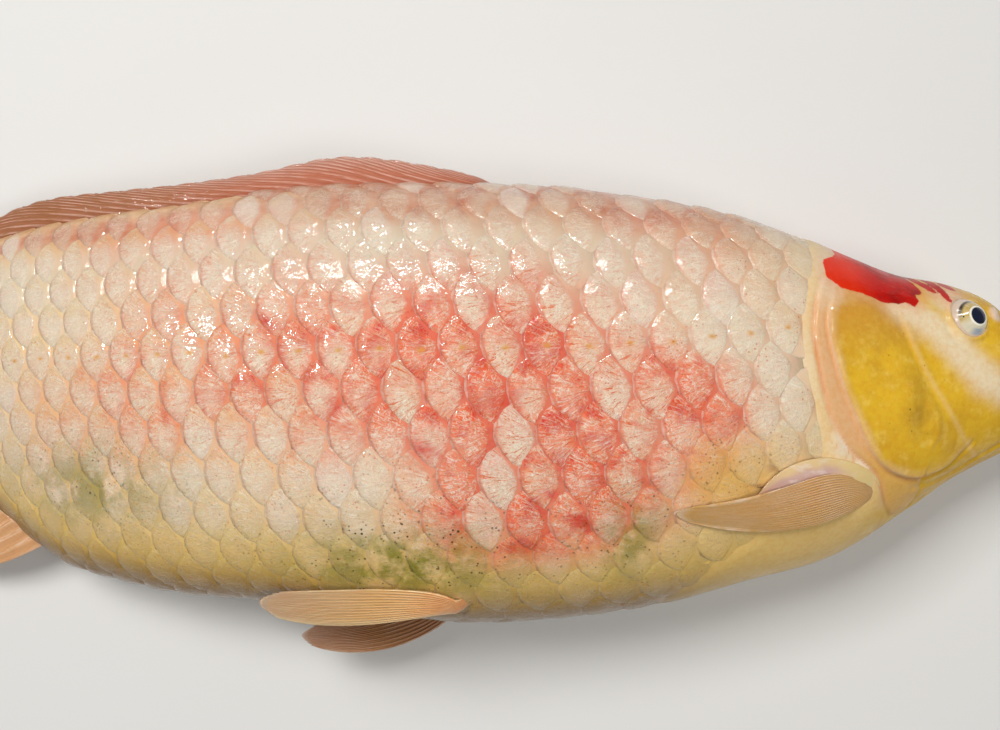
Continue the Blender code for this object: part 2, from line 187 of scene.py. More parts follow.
def drawLine(points, steps=16):
    # smooth line through a few points
    p = np.array(points, dtype=float)
    p = np.vstack([2 * p[0] - p[1], p, 2 * p[-1] - p[-2]])
    t = np.linspace(0, 1, steps, endpoint=False)[:, None]
    out = []
    for a, b, c, d in zip(p, p[1:], p[2:], p[3:]):
        bend = (2 * a - 5 * b + 4 * c - d) * t**2 + (3 * b - a - 3 * c + d) * t**3
        out.append(0.5 * (2 * b + (c - a) * t + bend))
    return np.vstack(out + [p[-2][None]])


def lineDistance(line, s, h):
    # distance to a drawn line, and which side of it a point is on
    start, step = line[:-1], np.diff(line, axis=0)
    best = np.full(s.shape, 1e9)
    side = np.ones(s.shape)
    for (a, b), (u, v) in zip(start, step):
        t = np.clip(((s - a) * u + (h - b) * v) / (u * u + v * v), 0, 1)
        gap = np.hypot(s - a - t * u, h - b - t * v)
        nearer = gap < best
        best = np.where(nearer, gap, best)
        side = np.where(nearer, np.sign(u * (h - b) - v * (s - a)), side)
    return best, side


def insideOf(outline, s, h):
    inside = np.zeros(s.shape, dtype=bool)
    a = outline
    b = np.roll(outline, -1, axis=0)
    for (s1, h1), (s2, h2) in zip(a, b):
        crosses = (h1 > h) != (h2 > h)
        slope = (s2 - s1) / (h2 - h1 if h2 != h1 else 1e-9)
        inside ^= crosses & (s < s1 + (h - h1) * slope)
    return inside


lines = {name: drawLine(points) for name, points in headLines.items()}


def edgeField(edge, inner, s, h):
    # distance to an edge, positive inside the outline that the edge and the inner points close
    gap, _ = lineDistance(lines[edge], s, h)
    inside = insideOf(np.vstack([lines[edge], np.array(headLines[inner], dtype=float)]), s, h)
    return np.where(inside, gap, -gap)


eye = {"s": 59.0, "h": 37.4, "radius": 10.6, "sink": 6.1, "rim": 1.3, "rimRear": 1.7}
nostril = {"s": 43.5, "h": 38.6}


def eyeCentre(side):
    angle = side * angleOf(eye["s"], eye["h"])
    return Vector(bodyPoints(eye["s"], angle, -eye["sink"]))


def rimWidth(points, centre, gap):
    # the skin ring is widest behind and below the eye
    offset = (points - np.array(centre)) / mm / np.maximum(gap, 1)[:, None]
    return eye["rim"] + eye["rimRear"] * np.clip(-0.76 * offset[:, 0] - 0.65 * offset[:, 1], -1, 1)


def fields(points):
    # the body's own coordinates of points given in metres: behind snout, height, and side
    s = (snoutX - points[:, 0]) / mm
    h = (points[:, 1] - spineY) / mm
    side = np.sign(points[:, 2] / mm - midPlane(s))
    return s, h, side


# hollows, folds and swellings of the head: (height, reach) of lines, (place, reach, height) of hills, in mm
relief = {
    "grooves": {"dimpleRidge": (0.5, 1.3), "underEye": (-0.45, 1.6), "lipFold": (-0.6, 1.0),
                "chinFold": (-0.6, 1.0)},
    "dimple": ((82.5, -5), (4.2, 7.5), -1.5),
    "cheek": ((61, 6), (15, 15), 1.1),
    "frontNostril": ((nostril["s"] - 4.0, nostril["h"] - 0.5), (1.6, 1.8), -1.8),
    "rearNostril": ((nostril["s"] + 3.6, nostril["h"]), (1.2, 1.8), -1.2),
    "nostrilFlap": ((nostril["s"], nostril["h"]), (2.2, 3.0), 1.9),
    "finRoot": ((104, -44), (9, 12), 2.2),
    "shoulder": ((119, -18), (7, 8), 0.8),
}


def hill(name, s, h):
    place, reach, height = relief[name]
    return height * blob(s, h, place, reach)


def mouthRelief(s, h):
    # two lips with a cleft between them
    gap, side = lineDistance(lines["mouth"], s, h)
    signed = gap * side
    return 0.9 * bell((signed - 2.3) / 1.6) + 0.8 * bell((signed + 2.3) / 1.6) - 2.2 * bell(signed / 0.8)


def eyeRelief(points):
    # the rim of the eye and its socket
    out = np.zeros(len(points))
    for side in (1, -1):
        centre = eyeCentre(side)
        gap = np.linalg.norm(points - np.array(centre), axis=1) / mm
        away = gap - eye["radius"]
        width = rimWidth(points, centre, gap)
        out += (0.9 + 0.35 * width) * bell((away - 0.42 * width) / (0.62 * width + 0.2))
        out -= 5.0 * smooth((0.2 - away) / 1.4)
    return out


def coverRelief(s, h, cover, membrane):
    # the gill cover's plate, its soft membrane, and the ridge where the cheek ends
    ridge, ridgeSide = lineDistance(lines["cheekRidge"], s, h)
    behind = np.where(ridgeSide > 0, ridge, -ridge)
    inner, _ = lineDistance(np.array(headLines["membraneInner"], dtype=float), s, h)
    plateTop = smooth((46 - h) / 12)
    softTop = smooth((62 - h) / 20)
    low = smooth((40 - h) / 8) * smooth((h + 12) / 10)
    out = 0.9 * smooth((membrane + 0.2) / 1.3) * softTop * smooth(inner / 16)
    plate = 1.9 * smooth(cover / 1.5) + 0.2 * bell((cover - 2.0) / 1.6)
    out += plate * smooth((behind + 1) / 14) * plateTop
    out -= 0.7 * bell((cover + 0.9) / 0.8) * plateTop
    out -= 0.6 * bell((membrane + 0.8) / 0.9) * softTop
    return out + 0.3 * bell(behind / 1.5) * low - 0.5 * bell((behind - 2.4) / 1.4) * low


def headRelief(s, h, points):
    # how far the skin stands off the plain body, in mm
    lift = np.zeros(s.shape)
    near = s < 140
    s, h = s[near], h[near]
    cover = edgeField("coverEdge", "coverInner", s, h)
    membrane = edgeField("membraneEdge", "membraneInner", s, h)
    out = coverRelief(s, h, cover, membrane) + mouthRelief(s, h) + eyeRelief(points[near])
    for name, (height, reach) in relief["grooves"].items():
        out += height * bell(lineDistance(lines[name], s, h)[0] / reach)
    for fold in ("jawFoldUpper", "jawFoldLower"):
        gap, foldSide = lineDistance(lines[fold], s, h)
        out += 0.35 * bell((gap * foldSide - 1.8) / 1.2) - 0.7 * bell(gap / 0.8)
    for name in ("dimple", "cheek", "frontNostril", "rearNostril", "nostrilFlap"):
        out += hill(name, s, h)
    # fleshy foot of the pectoral fin, and the bare shoulder above it
    out += hill("finRoot", s, h) * smooth(-membrane / 1.5)
    out += hill("shoulder", s, h) * smooth(-membrane / 1.2)
    lift[near] = out * smooth(s / 3)
    return lift


# how much of the coat of scales there is: none on the head, throat and fin feet
def coatAmount(s, h, bare=True):
    membrane = edgeField("membraneEdge", "membraneInner", s, h)
    rear = smooth((-membrane - 0.5) / 11)
    nape = smooth((s - 112 - 4 * smooth((h - 55) / 12)) / 12)
    foot = 1 - smooth((1.35 - np.hypot((s - 103) / 16, (h + 42) / 20)) / 0.25)
    if bare:
        foot = np.minimum(foot, 1 - smooth((1.25 - np.hypot((s - 130) / 25, (h + 31) / 10)) / 0.3))
    throat = smooth((s - 118 - 1.1 * np.clip(-h - 30, 0, 80)) / 18)
    return np.where(s < 80, 0, rear * nape * foot * throat)


# markings, kept on skin and scales alike
marks = {
    "crown": [(115, 64.5), (122.6, 61.6), (122.8, 54), (119, 51), (115.8, 48.8), (108.3, 47.2), (101.7, 44.5),
              (96.9, 42.6), (90.5, 42.4), (87, 43), (82.9, 41.3), (80.3, 43.7), (81.2, 46.5), (77.2, 47.2),
              (78.4, 50.7), (81, 54.8), (84, 75), (112, 85)],
    "crownBand": [(81, 60), (77, 56), (71.5, 51), (69.5, 47.5), (72, 47.6), (76, 50.6), (79.7, 53.6),
                  (83, 58)],
    "crownWedge": [(71, 56), (67, 53), (64.2, 46), (65, 42.3), (67.6, 46), (70.2, 50), (73, 54)],
    "crownDash": [(66, 54), (60, 51.3), (58.4, 48.2), (62, 49.3), (66, 51.5)],
    "spots": [(294, -19, 4.0), (361, 34, 3.0), (331, -2, 3.2), (263, 3, 3.0), (230, -50, 3.5),
              (252, 28, 2.5)],
    "creamBand": [(90, 41), (78, 35), (68, 26), (58, 15), (46, 6), (36, 2)],
    # patches that fade out round their centre: behind snout, height, both reaches, strength
    "brow": [(66, 45, 14, 9, 1.0)],
    "flushGap": [(166, -32, 28, 20, 0.8)],
    "smudge": [(83, -2, 9, 16, 0.6), (104, 30, 9, 16, 0.5)],
    # shine: pale patches on the bare shoulder, partly the skin's own colour and partly a painted sheen
    "shine": [(118.5, -17, 5, 7, 1.0), (110, -27, 5, 4, 1.0)],
    "amber": [(170, -28, 27, 17, 1.2), (150, -36, 20, 12, 0.5)],
    "plain": [(158, -38, 30, 22, 1.0), (168, -27, 22, 15, 0.7)],
    "speck": [(303, -68, 44, 15, 1.0), (442, -38, 36, 18, 0.7), (208, -56, 13, 17, 0.8)],
    "peppered": [(300, -64, 62, 28, 1.3), (445, -34, 44, 26, 0.8), (205, -50, 22, 26, 0.9),
                 (166, -22, 20, 20, 0.8)],
    "grit": [(88, 8, 12, 22, 1.0)],
    "grey": [(335, 62, 110, 30, 1.0)],
    # the pink areas of the flank, in the same way
    "flushes": [(268, 20, 56, 40, 1.0), (222, -14, 44, 40, 1.0), (186, -6, 28, 24, 0.9),
                (256, -42, 42, 24, 0.9), (330, 14, 46, 36, 0.6), (388, 12, 54, 32, 0.5),
                (395, 60, 60, 22, 0.35), (196, 62, 34, 20, 0.25), (440, -5, 40, 26, 0.25)],
}


def outlineField(name, s, h):
    outline = np.array(marks[name], dtype=float)
    closed = np.vstack([outline, outline[:1]])
    gap, _ = lineDistance(closed, s, h)
    return np.where(insideOf(outline, s, h), gap, -gap)


def patches(name, s, h):
    return sum(share * blob(s, h, (at, up), (wide, tall)) for at, up, wide, tall, share in marks[name])


def headFields(s, h):
    # distances to the lines of the head in mm; far from the head they hold a value well outside
    near = s < 150
    far = {"red": -30.0, "cover": -60.0, "membrane": -60.0, "ridge": 60.0, "creamBand": 60.0}
    out = {name: np.full(s.shape, value) for name, value in far.items()}
    s, h = s[near], h[near]
    for name in ("crown", "crownBand", "crownWedge", "crownDash"):
        out["red"][near] = np.maximum(out["red"][near], outlineField(name, s, h))
    out["cover"][near] = edgeField("coverEdge", "coverInner", s, h)
    out["membrane"][near] = edgeField("membraneEdge", "membraneInner", s, h)
    out["ridge"][near] = lineDistance(lines["cheekRidge"], s, h)[0]
    out["creamBand"][near] = lineDistance(drawLine(marks["creamBand"]), s, h)[0]
    return out


def flushAmount(s, h):
    flush = np.zeros(s.shape)
    for centre, height, reach, tall, strength in marks["flushes"]:
        area = smooth(1.5 - np.hypot((s - centre) / reach, (h - height) / tall))
        flush = flush + strength * area * (1 - flush)
    return flush * (1 - patches("flushGap", s, h))


def spotAmount(s, h):
    spots = np.zeros(s.shape)
    for centre, height, radius in marks["spots"]:
        spots = np.maximum(spots, bell(np.hypot(s - centre, h - height) / radius))
    return spots


def plainAmount(s, h, depth, red, membrane):
    # bare throat, the chest under the fin and the belly's lower edge, where the scales show little
    amount = patches("plain", s, h) + 0.7 * smooth((148 - s) / 20)
    amount = amount + smooth((-h - 40) / 25) * smooth((215 - s) / 40)
    amount = amount + 0.6 * smooth((0.26 - depth) / 0.12) * smooth((s - 190) / 30)
    outside = np.where(s < 150, smooth(-membrane / 2), 1)
    return np.clip(amount, 0, 1) * smooth((s - 96) / 12) * (1 - smooth((red + 7) / 6)) * outside


def markings(points):
    # named shares of each colour, from 0 to 1, and red as a distance from its edge in mm
    s, h, side = fields(points)
    edges = headFields(s, h)
    red, cover, membrane = edges["red"], edges["cover"], edges["membrane"]
    depth = (h - bellyLine(s)) / np.maximum(backLine(s) - bellyLine(s), 1)
    head = smooth(np.maximum((124 - s) / 10, (membrane + 1) * np.where(s < 136, 1, 0)))
    cream = np.maximum(bell(edges["creamBand"] / 9.5), patches("brow", s, h))
    plate = smooth((cover + 0.5) / 1.5)
    soft = smooth((membrane + 0.5) / 1.5) * (1 - plate) * smooth((46 - h) / 10)
    yellow = head * (1 - 0.84 * cream) * (1 - soft)
    yellow *= 1 - 0.45 * smooth((h - 36) / 12) * smooth((s - 78) / 16)
    yellow *= 1 - 0.4 * bell((cover - 1.5) / 3)
    yellow *= 1 - 0.8 * smooth((s - 88) / (6 + 24 * smooth((-h - 42) / 10))) * (1 - plate)
    crease = bell((membrane + 0.5) / 0.9) * smooth((50 - h) / 12) * smooth((s - 92) / 8)
    crease += 0.5 * bell((cover + 0.7) / 0.8) * smooth((40 - h) / 10) * smooth((s - 66) / 8)
    shares = {
        "chalk": cream * head,
        "yellow": yellow,
        "brownTop": smooth((h - 16) / 26) * smooth((s - 78) / 14),
        "smudge": patches("smudge", s, h),
        "crownRear": smooth((s - 97) / 16),
        "soft": soft,
        # painted highlight: a thin pale line along the cheek ridge
        "pale": 0.8 * bell(edges["ridge"] / 1.1) * smooth((40 - h) / 8) * head,
        "rim": eyeRim(points),
        "crease": crease,
        "lowSoft": soft * smooth((-14 - h) / 16),
        "shine": np.clip(patches("shine", s, h), 0, 1) * smooth(-membrane / 0.8),
        "halo": smooth(1 + (red - 1) / 8) * smooth((60 - h) / 8),
        "spot": spotAmount(s, h) * np.where(side > 0, 1, 0),
        "grit": patches("grit", s, h),
        # partly the pink of the scales along the ridge, partly painted shade darkening the ridge
        "backTint": smooth((depth - 0.85) / 0.08) * smooth((s - 130) / 40),
        "grey": patches("grey", s, h),
        "belly": smooth((0.36 - depth) / 0.3),
        "backness": smooth((depth - 0.66) / 0.16) * smooth((s - 150) / 50),
        "rear": smooth((s - 290) / 110),
        "amber": patches("amber", s, h),
        "plain": plainAmount(s, h, depth, red, membrane),
        # under: painted shade, darker towards the lower edge of the belly
        "under": smooth((0.14 - depth) / 0.12) * smooth((s - 140) / 60),
        # painted shadow in the crease behind the pectoral fin's foot
        "axil": bell(lineDistance(lines["axil"], s, h)[0] / 1.1),
        "speck": patches("speck", s, h),
        "peppered": patches("peppered", s, h),
    }
    out = {name: np.clip(values, 0, 1) for name, values in shares.items()}
    out["red"] = red
    out["flush"] = np.clip(flushAmount(s, h) * np.where(side > 0, 1.0, 0.6), 0, 1.2)
    return out


def eyeRim(points):
    out = np.zeros(len(points))
    for word in (1, -1):
        centre = eyeCentre(word)
        gap = np.linalg.norm(points - np.array(centre), axis=1) / mm
        out = np.maximum(out, smooth((rimWidth(points, centre, gap) - (gap - eye["radius"])) / 0.7))
    s, h, _ = fields(points)
    out = np.maximum(out, smooth(1.5 - np.hypot((s - nostril["s"]) / 2.6, (h - nostril["h"]) / 3.2)))
    return out


def addValues(mesh, values):
    # one number for each vertex, under each name
    for name, numbers in values.items():
        layer = mesh.attributes.new(name, "FLOAT", "POINT")
        layer.data.foreach_set("value", np.array(numbers, dtype=np.float32))


def addMap(mesh, name, uv):
    # one place on the map for each corner of a face
    mesh.uv_layers.new(name=name).data.foreach_set("uv", uv.astype(np.float32).ravel())


def corners(mesh):
    # the vertex at each corner, and the face that the corner belongs to
    vertex = np.empty(len(mesh.loops), dtype=np.int64)
    mesh.loops.foreach_get("vertex_index", vertex)
    totals = np.empty(len(mesh.polygons), dtype=np.int64)
    mesh.polygons.foreach_get("loop_total", totals)
    return vertex, np.repeat(np.arange(len(totals)), totals)


def addMarkings(mesh):
    flat = np.empty(len(mesh.vertices) * 3, dtype=np.float32)
    mesh.vertices.foreach_get("co", flat)
    addValues(mesh, markings(flat.reshape(-1, 3).astype(float)))


def turnOutward(mesh):
    shape = bmesh.new()
    shape.from_mesh(mesh)
    if shape.calc_volume(signed=True) < 0:
        mesh.flip_normals()
    shape.free()


def gridFaces(rows, columns, wrap):
    # quads of a grid whose points are listed row by row
    i, j = np.meshgrid(np.arange(rows - 1), np.arange(columns if wrap else columns - 1), indexing="ij")
    nextJ = (j + 1) % columns
    here, beyond = i * columns, (i + 1) * columns
    return np.stack([here + j, here + nextJ, beyond + nextJ, beyond + j], axis=-1).reshape(-1, 4)


def tubeFaces(rows, columns):
    # rings joined one by one, with a fan at each end to the two points that follow the rings
    faces = gridFaces(rows, columns, True).tolist()
    first, last = rows * columns, (rows - 1) * columns
    for j in range(columns):
        k = (j + 1) % columns
        faces += [[first, k, j], [first + 1, last + j, last + k]]
    return faces


def addObject(name, mesh, material=None):
    piece = bpy.data.objects.new(name, mesh)
    bpy.context.collection.objects.link(piece)
    if material:
        mesh.materials.append(material)
    return piece


def meshFrom(name, points, faces):
    mesh = bpy.data.meshes.new(name)
    mesh.from_pydata(points.tolist() if hasattr(points, "tolist") else points, [], faces)
    mesh.validate()
    mesh.update()
    mesh.shade_smooth()
    return mesh


def dress(piece, slot, *nodes):
    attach(piece, "root")
    if nodes:
        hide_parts(*nodes)


# skin
skin = {"around": 276, "headStep": 0.78, "neckStep": 1.2, "bodyStep": 3.0, "headEnd": 131, "neckEnd": 162}


def skinStations():
    nose = np.array([0.03, 0.15, 0.4, 0.8, 1.3, 1.9])
    head = np.arange(2.6, skin["headEnd"], skin["headStep"])
    neck = np.arange(skin["headEnd"], skin["neckEnd"], skin["neckStep"])
    rest = np.arange(skin["neckEnd"], body["tailRoot"] - 1.0, skin["bodyStep"])
    return np.concatenate([nose, head, neck, rest, [body["tailRoot"]]])


def evenAngles(stations, count):
    # angles all the way round, evenly spaced along each section's outline
    table = arcTable(stations)
    half = count // 2
    out = np.empty((len(stations), count))
    for i, row in enumerate(table):
        quarter = np.interp(np.linspace(0, row[-1], half + 1), row, fineAngles)
        out[i, :half + 1] = quarter
        out[i, half + 1:] = 2 * math.pi - quarter[1:half][::-1]
    return out


def surfaceLift(s, angle):
    # relief of the head and the depth of the coat together
    plain = bodyPoints(s, angle).reshape(-1, 3)
    along, height, _ = fields(plain)
    lift = headRelief(along, height, plain)
    return (lift - body["coatDepth"] * coatAmount(along, height, False)).reshape(s.shape)


def makeSkin(material):
    stations = skinStations()
    angles = evenAngles(stations, skin["around"])
    s = np.broadcast_to(stations[:, None], angles.shape)
    clear = body["floorGap"] * (0.15 + 0.85 * smooth((s - 100) / 60))
    points = bodyPoints(s, angles, surfaceLift(s, angles), clear)
    tip = [snoutX, spineY - 2 * mm, midPlane(0.0) * mm]
    verts = np.vstack([points.reshape(-1, 3), tip, points[-1].mean(axis=0)])
    mesh = meshFrom("skin", verts, tubeFaces(*angles.shape))
    turnOutward(mesh)
    unwrapSkin(mesh, stations)
    addMarkings(mesh)
    dress(addObject("skin", mesh, material), "body_skin", "head", "lower_jaw", "gill_cover_right",
          "gill_cover_left", "trunk_front", "trunk_rear", "tail_stalk")


def unwrapSkin(mesh, stations):
    # an unwrap of the body's own shape: along the body and round it
    vertex, face = corners(mesh)
    rows, columns = len(stations), skin["around"]
    around = (vertex % columns).astype(float)
    lowest = np.full(len(mesh.polygons), 1e9)
    highest = np.full(len(mesh.polygons), -1.0)
    np.minimum.at(lowest, face, around)
    np.maximum.at(highest, face, around)
    crossing = (highest - lowest)[face] > columns / 2
    around = np.where(crossing & (around < columns / 2), around + columns, around)
    around = np.where(vertex >= rows * columns, lowest[face], around)
    along = stations[np.minimum(vertex // columns, rows - 1)] / body["tailRoot"]
    along = np.where(vertex == rows * columns, 0, along)
    addMap(mesh, "OFBake", np.stack([0.01 + 0.97 * along, 0.01 + 0.97 * around / (columns + 1)], axis=1))


# materials
class Flow:
    # a value in a node tree, worked on like a number
    def __init__(self, wires, socket):
        self.wires = wires
        self.socket = socket


def flowSum(operation, turned=False):
    def work(self, other=0.0):
        first, second = (other, self) if turned else (self, other)
        return self.wires.math(operation, first, second)
    return work


signs = {"add": "ADD", "sub": "SUBTRACT", "mul": "MULTIPLY", "truediv": "DIVIDE", "pow": "POWER"}
for word, operation in signs.items():
    setattr(Flow, "__" + word + "__", flowSum(operation))
    setattr(Flow, "__r" + word + "__", flowSum(operation, True))
Flow.__abs__ = flowSum("ABSOLUTE")


class Wires:
    # short calls for building a node tree
    def __init__(self, tree):
        self.tree = tree

    def node(self, kind, inputs=None, **settings):
        made = self.tree.nodes.new(kind)
        for name, value in settings.items():
            setattr(made, name, value)
        for name, value in (inputs or {}).items():
            self.put(value, made.inputs[name])
        return made

    def make(self, kind, inputs=None, output=0, **settings):
        return Flow(self, self.node(kind, inputs, **settings).outputs[output])

    def put(self, value, socket):
        if isinstance(value, Flow):
            self.tree.links.new(value.socket, socket)
        else:
            socket.default_value = value

    def math(self, operation, a, b=0.0):
        return self.make("ShaderNodeMath", {0: a, 1: b}, operation=operation)

    def limit(self, value):
        # held between 0 and 1
        value.socket.node.use_clamp = True
        return value

    def bell(self, a, b):
        # 1 in the middle, falling off both ways
        return self.math("EXPONENT", (a ** 2.0 + b ** 2.0) * -1.0)

    def ramp(self, value, low, high, start=0.0, end=1.0):
        settings = dict(enumerate((value, low, high, start, end)))
        return self.make("ShaderNodeMapRange", settings, interpolation_type="SMOOTHSTEP")

    def tint(self, colour):
        # a colour by its name, by its parts, or from other nodes
        return colour if isinstance(colour, Flow) else (*tints.get(colour, colour), 1.0)

    def mix(self, factor, a, b, blend="MIX"):
        settings = {0: factor, 6: self.tint(a), 7: self.tint(b)}
        return self.make("ShaderNodeMix", settings, 2, data_type="RGBA", blend_type=blend)

    def layers(self, colour, coats):
        # coats of colour laid one over the other, each with its share
        for share, tint in coats:
            colour = self.mix(share, colour, tint)
        return colour

    def attribute(self, name):
        return self.make("ShaderNodeAttribute", {}, "Fac", attribute_type="GEOMETRY", attribute_name=name)

    def named(self, label, kind="FLOAT"):
        return self.make("GeometryNodeInputNamedAttribute", {"Name": label}, "Attribute", data_type=kind)

    def places(self):
        return self.make("ShaderNodeTexCoord", {}, "Object")

    def scaled(self, vector, size):
        return self.make("ShaderNodeMapping", {"Vector": vector, "Scale": size})

    def join(self, x, y, z=0.0):
        return self.make("ShaderNodeCombineXYZ", {0: x, 1: y, 2: z})

    def split(self, vector):
        return [Flow(self, part) for part in self.node("ShaderNodeSeparateXYZ", {0: vector}).outputs]

    def noise(self, vector, scale, detail=3.0, roughness=0.55, distortion=0.0):
        settings = {"Vector": vector, "Scale": scale, "Detail": detail, "Roughness": roughness,
                    "Distortion": distortion}
        return self.make("ShaderNodeTexNoise", settings, "Fac")

    def cells(self, vector, scale):
        return self.make("ShaderNodeTexVoronoi", {"Vector": vector, "Scale": scale}, "Distance")

    def bump(self, height, distance, strength):
        return self.make("ShaderNodeBump", {"Strength": strength, "Distance": distance, "Height": height})


def newMaterial(name):
    material = bpy.data.materials.new(name)
    material.use_nodes = True
    material.node_tree.nodes.clear()
    w = Wires(material.node_tree)
    shader = w.node("ShaderNodeBsdfPrincipled")
    w.node("ShaderNodeOutputMaterial", {"Surface": Flow(w, shader.outputs[0])})
    return material, w, shader


def setShader(w, shader, values):
    # values under the names of the shader's own inputs
    for name, value in values.items():
        w.put(value, shader.inputs[name])


# wet flesh that lets a little light in
flesh = {"Specular IOR Level": 0.15, "Subsurface Weight": 0.1, "Subsurface Scale": 0.003, "IOR": 1.33}
finFlesh = {"Specular IOR Level": 0.2, "Subsurface Weight": 0.1, "Subsurface Scale": 0.003}

tints = {
    "cream": (0.77, 0.54, 0.34),
    "white": (0.75, 0.62, 0.47),
    "greyWhite": (0.72, 0.63, 0.51),
    "lilacWhite": (0.77, 0.64, 0.58),
    "pink": (0.85, 0.145, 0.062),
    "deepRed": (0.62, 0.02, 0.01),
    "blotch": (0.66, 0.035, 0.022),
    "crown": (0.52, 0.004, 0.0),
    "crownOrange": (0.80, 0.030, 0.001),
    "crownDark": (0.28, 0.003, 0.001),
    "ochre": (0.74, 0.46, 0.030),
    "ochreDark": (0.56, 0.29, 0.022),
    "ochrePale": (0.82, 0.58, 0.12),
    "amber": (0.74, 0.44, 0.12),
    "bellyYellow": (0.73, 0.47, 0.11),
    # painted shade for the lower edge of the belly
    "paintedBellyShade": (0.15, 0.06, 0.005),
    "olive": (0.25, 0.20, 0.05),
    "moss": (0.21, 0.20, 0.010),
    "soot": (0.03, 0.025, 0.008),
    "membrane": (0.72, 0.42, 0.20),
    "throatSkin": (0.70, 0.42, 0.11),
    "lilac": (0.70, 0.56, 0.46),
    # the ridge's pink, darkened as painted shade
    "ridgePeachAndShade": (0.46, 0.115, 0.045),
}


def carpColour(w, places):
    # the colour that skin and scales share
    drift = w.noise(places, 22, 3)
    grain = w.noise(places, 160, 4, 0.65)
    coarse = w.noise(places, 45, 3)
    uneven = w.ramp(coarse, 0.35, 0.65, 0.55, 1.0) * w.ramp(grain, 0.3, 0.7, 0.6, 1.0)
    # yellow of the head, browner at its top and patchy
    patch = w.ramp(w.noise(places, 55, 5, 0.6), 0.32, 0.72)
    ochre = w.layers("ochre", [
        (patch * 0.6, "ochreDark"),
        (w.ramp(w.noise(places, 130, 4, 0.6), 0.5, 0.68) * 0.5, "ochrePale"),
        (w.attribute("brownTop") * 0.75, (0.60, 0.28, 0.05)),
        (w.attribute("smudge") * patch, (0.40, 0.24, 0.03)),
    ])
    yellow = w.attribute("yellow") + (w.noise(places, 70, 4) - 0.5) * 0.5
    # bare skin with fine red vessels; its whiteness on the shoulder is partly a painted sheen
    vessels = w.ramp(w.noise(w.scaled(places, (1, 0.35, 1)), 420, 3, 0.6), 0.55, 0.64)
    shine = w.mix(vessels * 0.6, (0.84, 0.76, 0.66), (0.72, 0.16, 0.08))
    # red crown with a ragged edge
    crownRear = w.attribute("crownRear") * w.ramp(drift, 0.2, 0.6, 0.5, 1.0)
    crown = w.layers("crown", [
        (w.ramp(w.noise(places, 90, 3), 0.45, 0.75), "crownDark"),
        (crownRear, "crownOrange"),
    ])
    red = w.attribute("red") + (w.noise(places, 300, 3) - 0.5) * 1.6
    return w.layers("cream", [
        (w.ramp(drift, 0.35, 0.7), "white"),
        (w.attribute("grey") * 0.8, "greyWhite"),
        (w.attribute("chalk") * 0.8, (0.80, 0.68, 0.46)),
        (w.attribute("plain") * 0.6, (0.80, 0.61, 0.31)),
        (w.attribute("belly") * w.ramp(drift, 0.1, 0.6, 0.6, 1.0), "bellyYellow"),
        # painted shade along the lower edge of the belly
        (w.attribute("under") * 0.85, "paintedBellyShade"),
        (w.attribute("amber") * w.ramp(coarse, 0.25, 0.6, 0.5, 1.0), "amber"),
        # pink of the ridge with painted shade on it
        (w.attribute("backTint") * uneven, "ridgePeachAndShade"),
        (w.ramp(yellow, 0.1, 0.9), ochre),
        (w.attribute("soft") * 0.9, "membrane"),
        (w.attribute("lowSoft"), "throatSkin"),
        # painted highlight along the cheek ridge
        (w.attribute("pale") * 0.5, (0.82, 0.60, 0.30)),
        (w.attribute("crease") * w.ramp(drift, 0.3, 0.7, 0.4, 0.95), (0.66, 0.24, 0.07)),
        # painted shadow: a dark brown line behind the pectoral fin's foot
        (w.attribute("axil") * 0.8, (0.26, 0.09, 0.02)),
        (w.attribute("shine") * 0.9, shine),
        (w.attribute("halo") * w.ramp(drift, 0.3, 0.7, 0.15, 0.5), (0.74, 0.26, 0.13)),
        (w.ramp(red, -0.35, 0.35), crown),
        (w.attribute("rim"), "lilac"),
    ])


def ripples(w, places, size):
    # the film of water: its own fine ripples break the light into small glints
    height = w.noise(places, size, 2, 0.5) + w.noise(places, size * 2.7, 2, 0.5) * 0.4
    return w.bump(height, 0.0006, 0.8)


def skinMaterial():
    material, w, shader = newMaterial("wetSkin")
    places = w.places()
    colour = w.layers(carpColour(w, places), [
        (w.attribute("flush") * 0.5, "pink"),
        (w.attribute("plain") * 0.35, (0.72, 0.55, 0.25)),
    ])
    fine = w.noise(places, 420, 4, 0.65)
    colour = w.mix(w.ramp(fine, 0.6, 0.35, 0.0, 0.3), colour, (0.90, 0.66, 0.34), "MULTIPLY")
    freckle = w.ramp(w.cells(places, 260), 0.10, 0.02) * w.ramp(w.noise(places, 60, 2), 0.58, 0.66)
    grit = w.limit(w.ramp(w.cells(places, 190), 0.12, 0.05) * w.attribute("grit"))
    colour = w.layers(colour, [(freckle * 0.55, "olive"), (grit * 0.9, "soot")])
    height = w.noise(places, 90, 4, 0.6) + w.noise(places, 700, 3, 0.6) * 0.25
    setShader(w, shader, {
        **flesh,
        "Base Color": colour,
        "Normal": w.bump(height, 0.0007, 0.6),
        "Roughness": w.ramp(w.noise(places, 120, 3), 0.3, 0.7, 0.3, 0.5),
        "Coat Normal": ripples(w, places, 130),
        "Coat Weight": 0.32,
        "Coat Roughness": 0.06,
    })
    return material


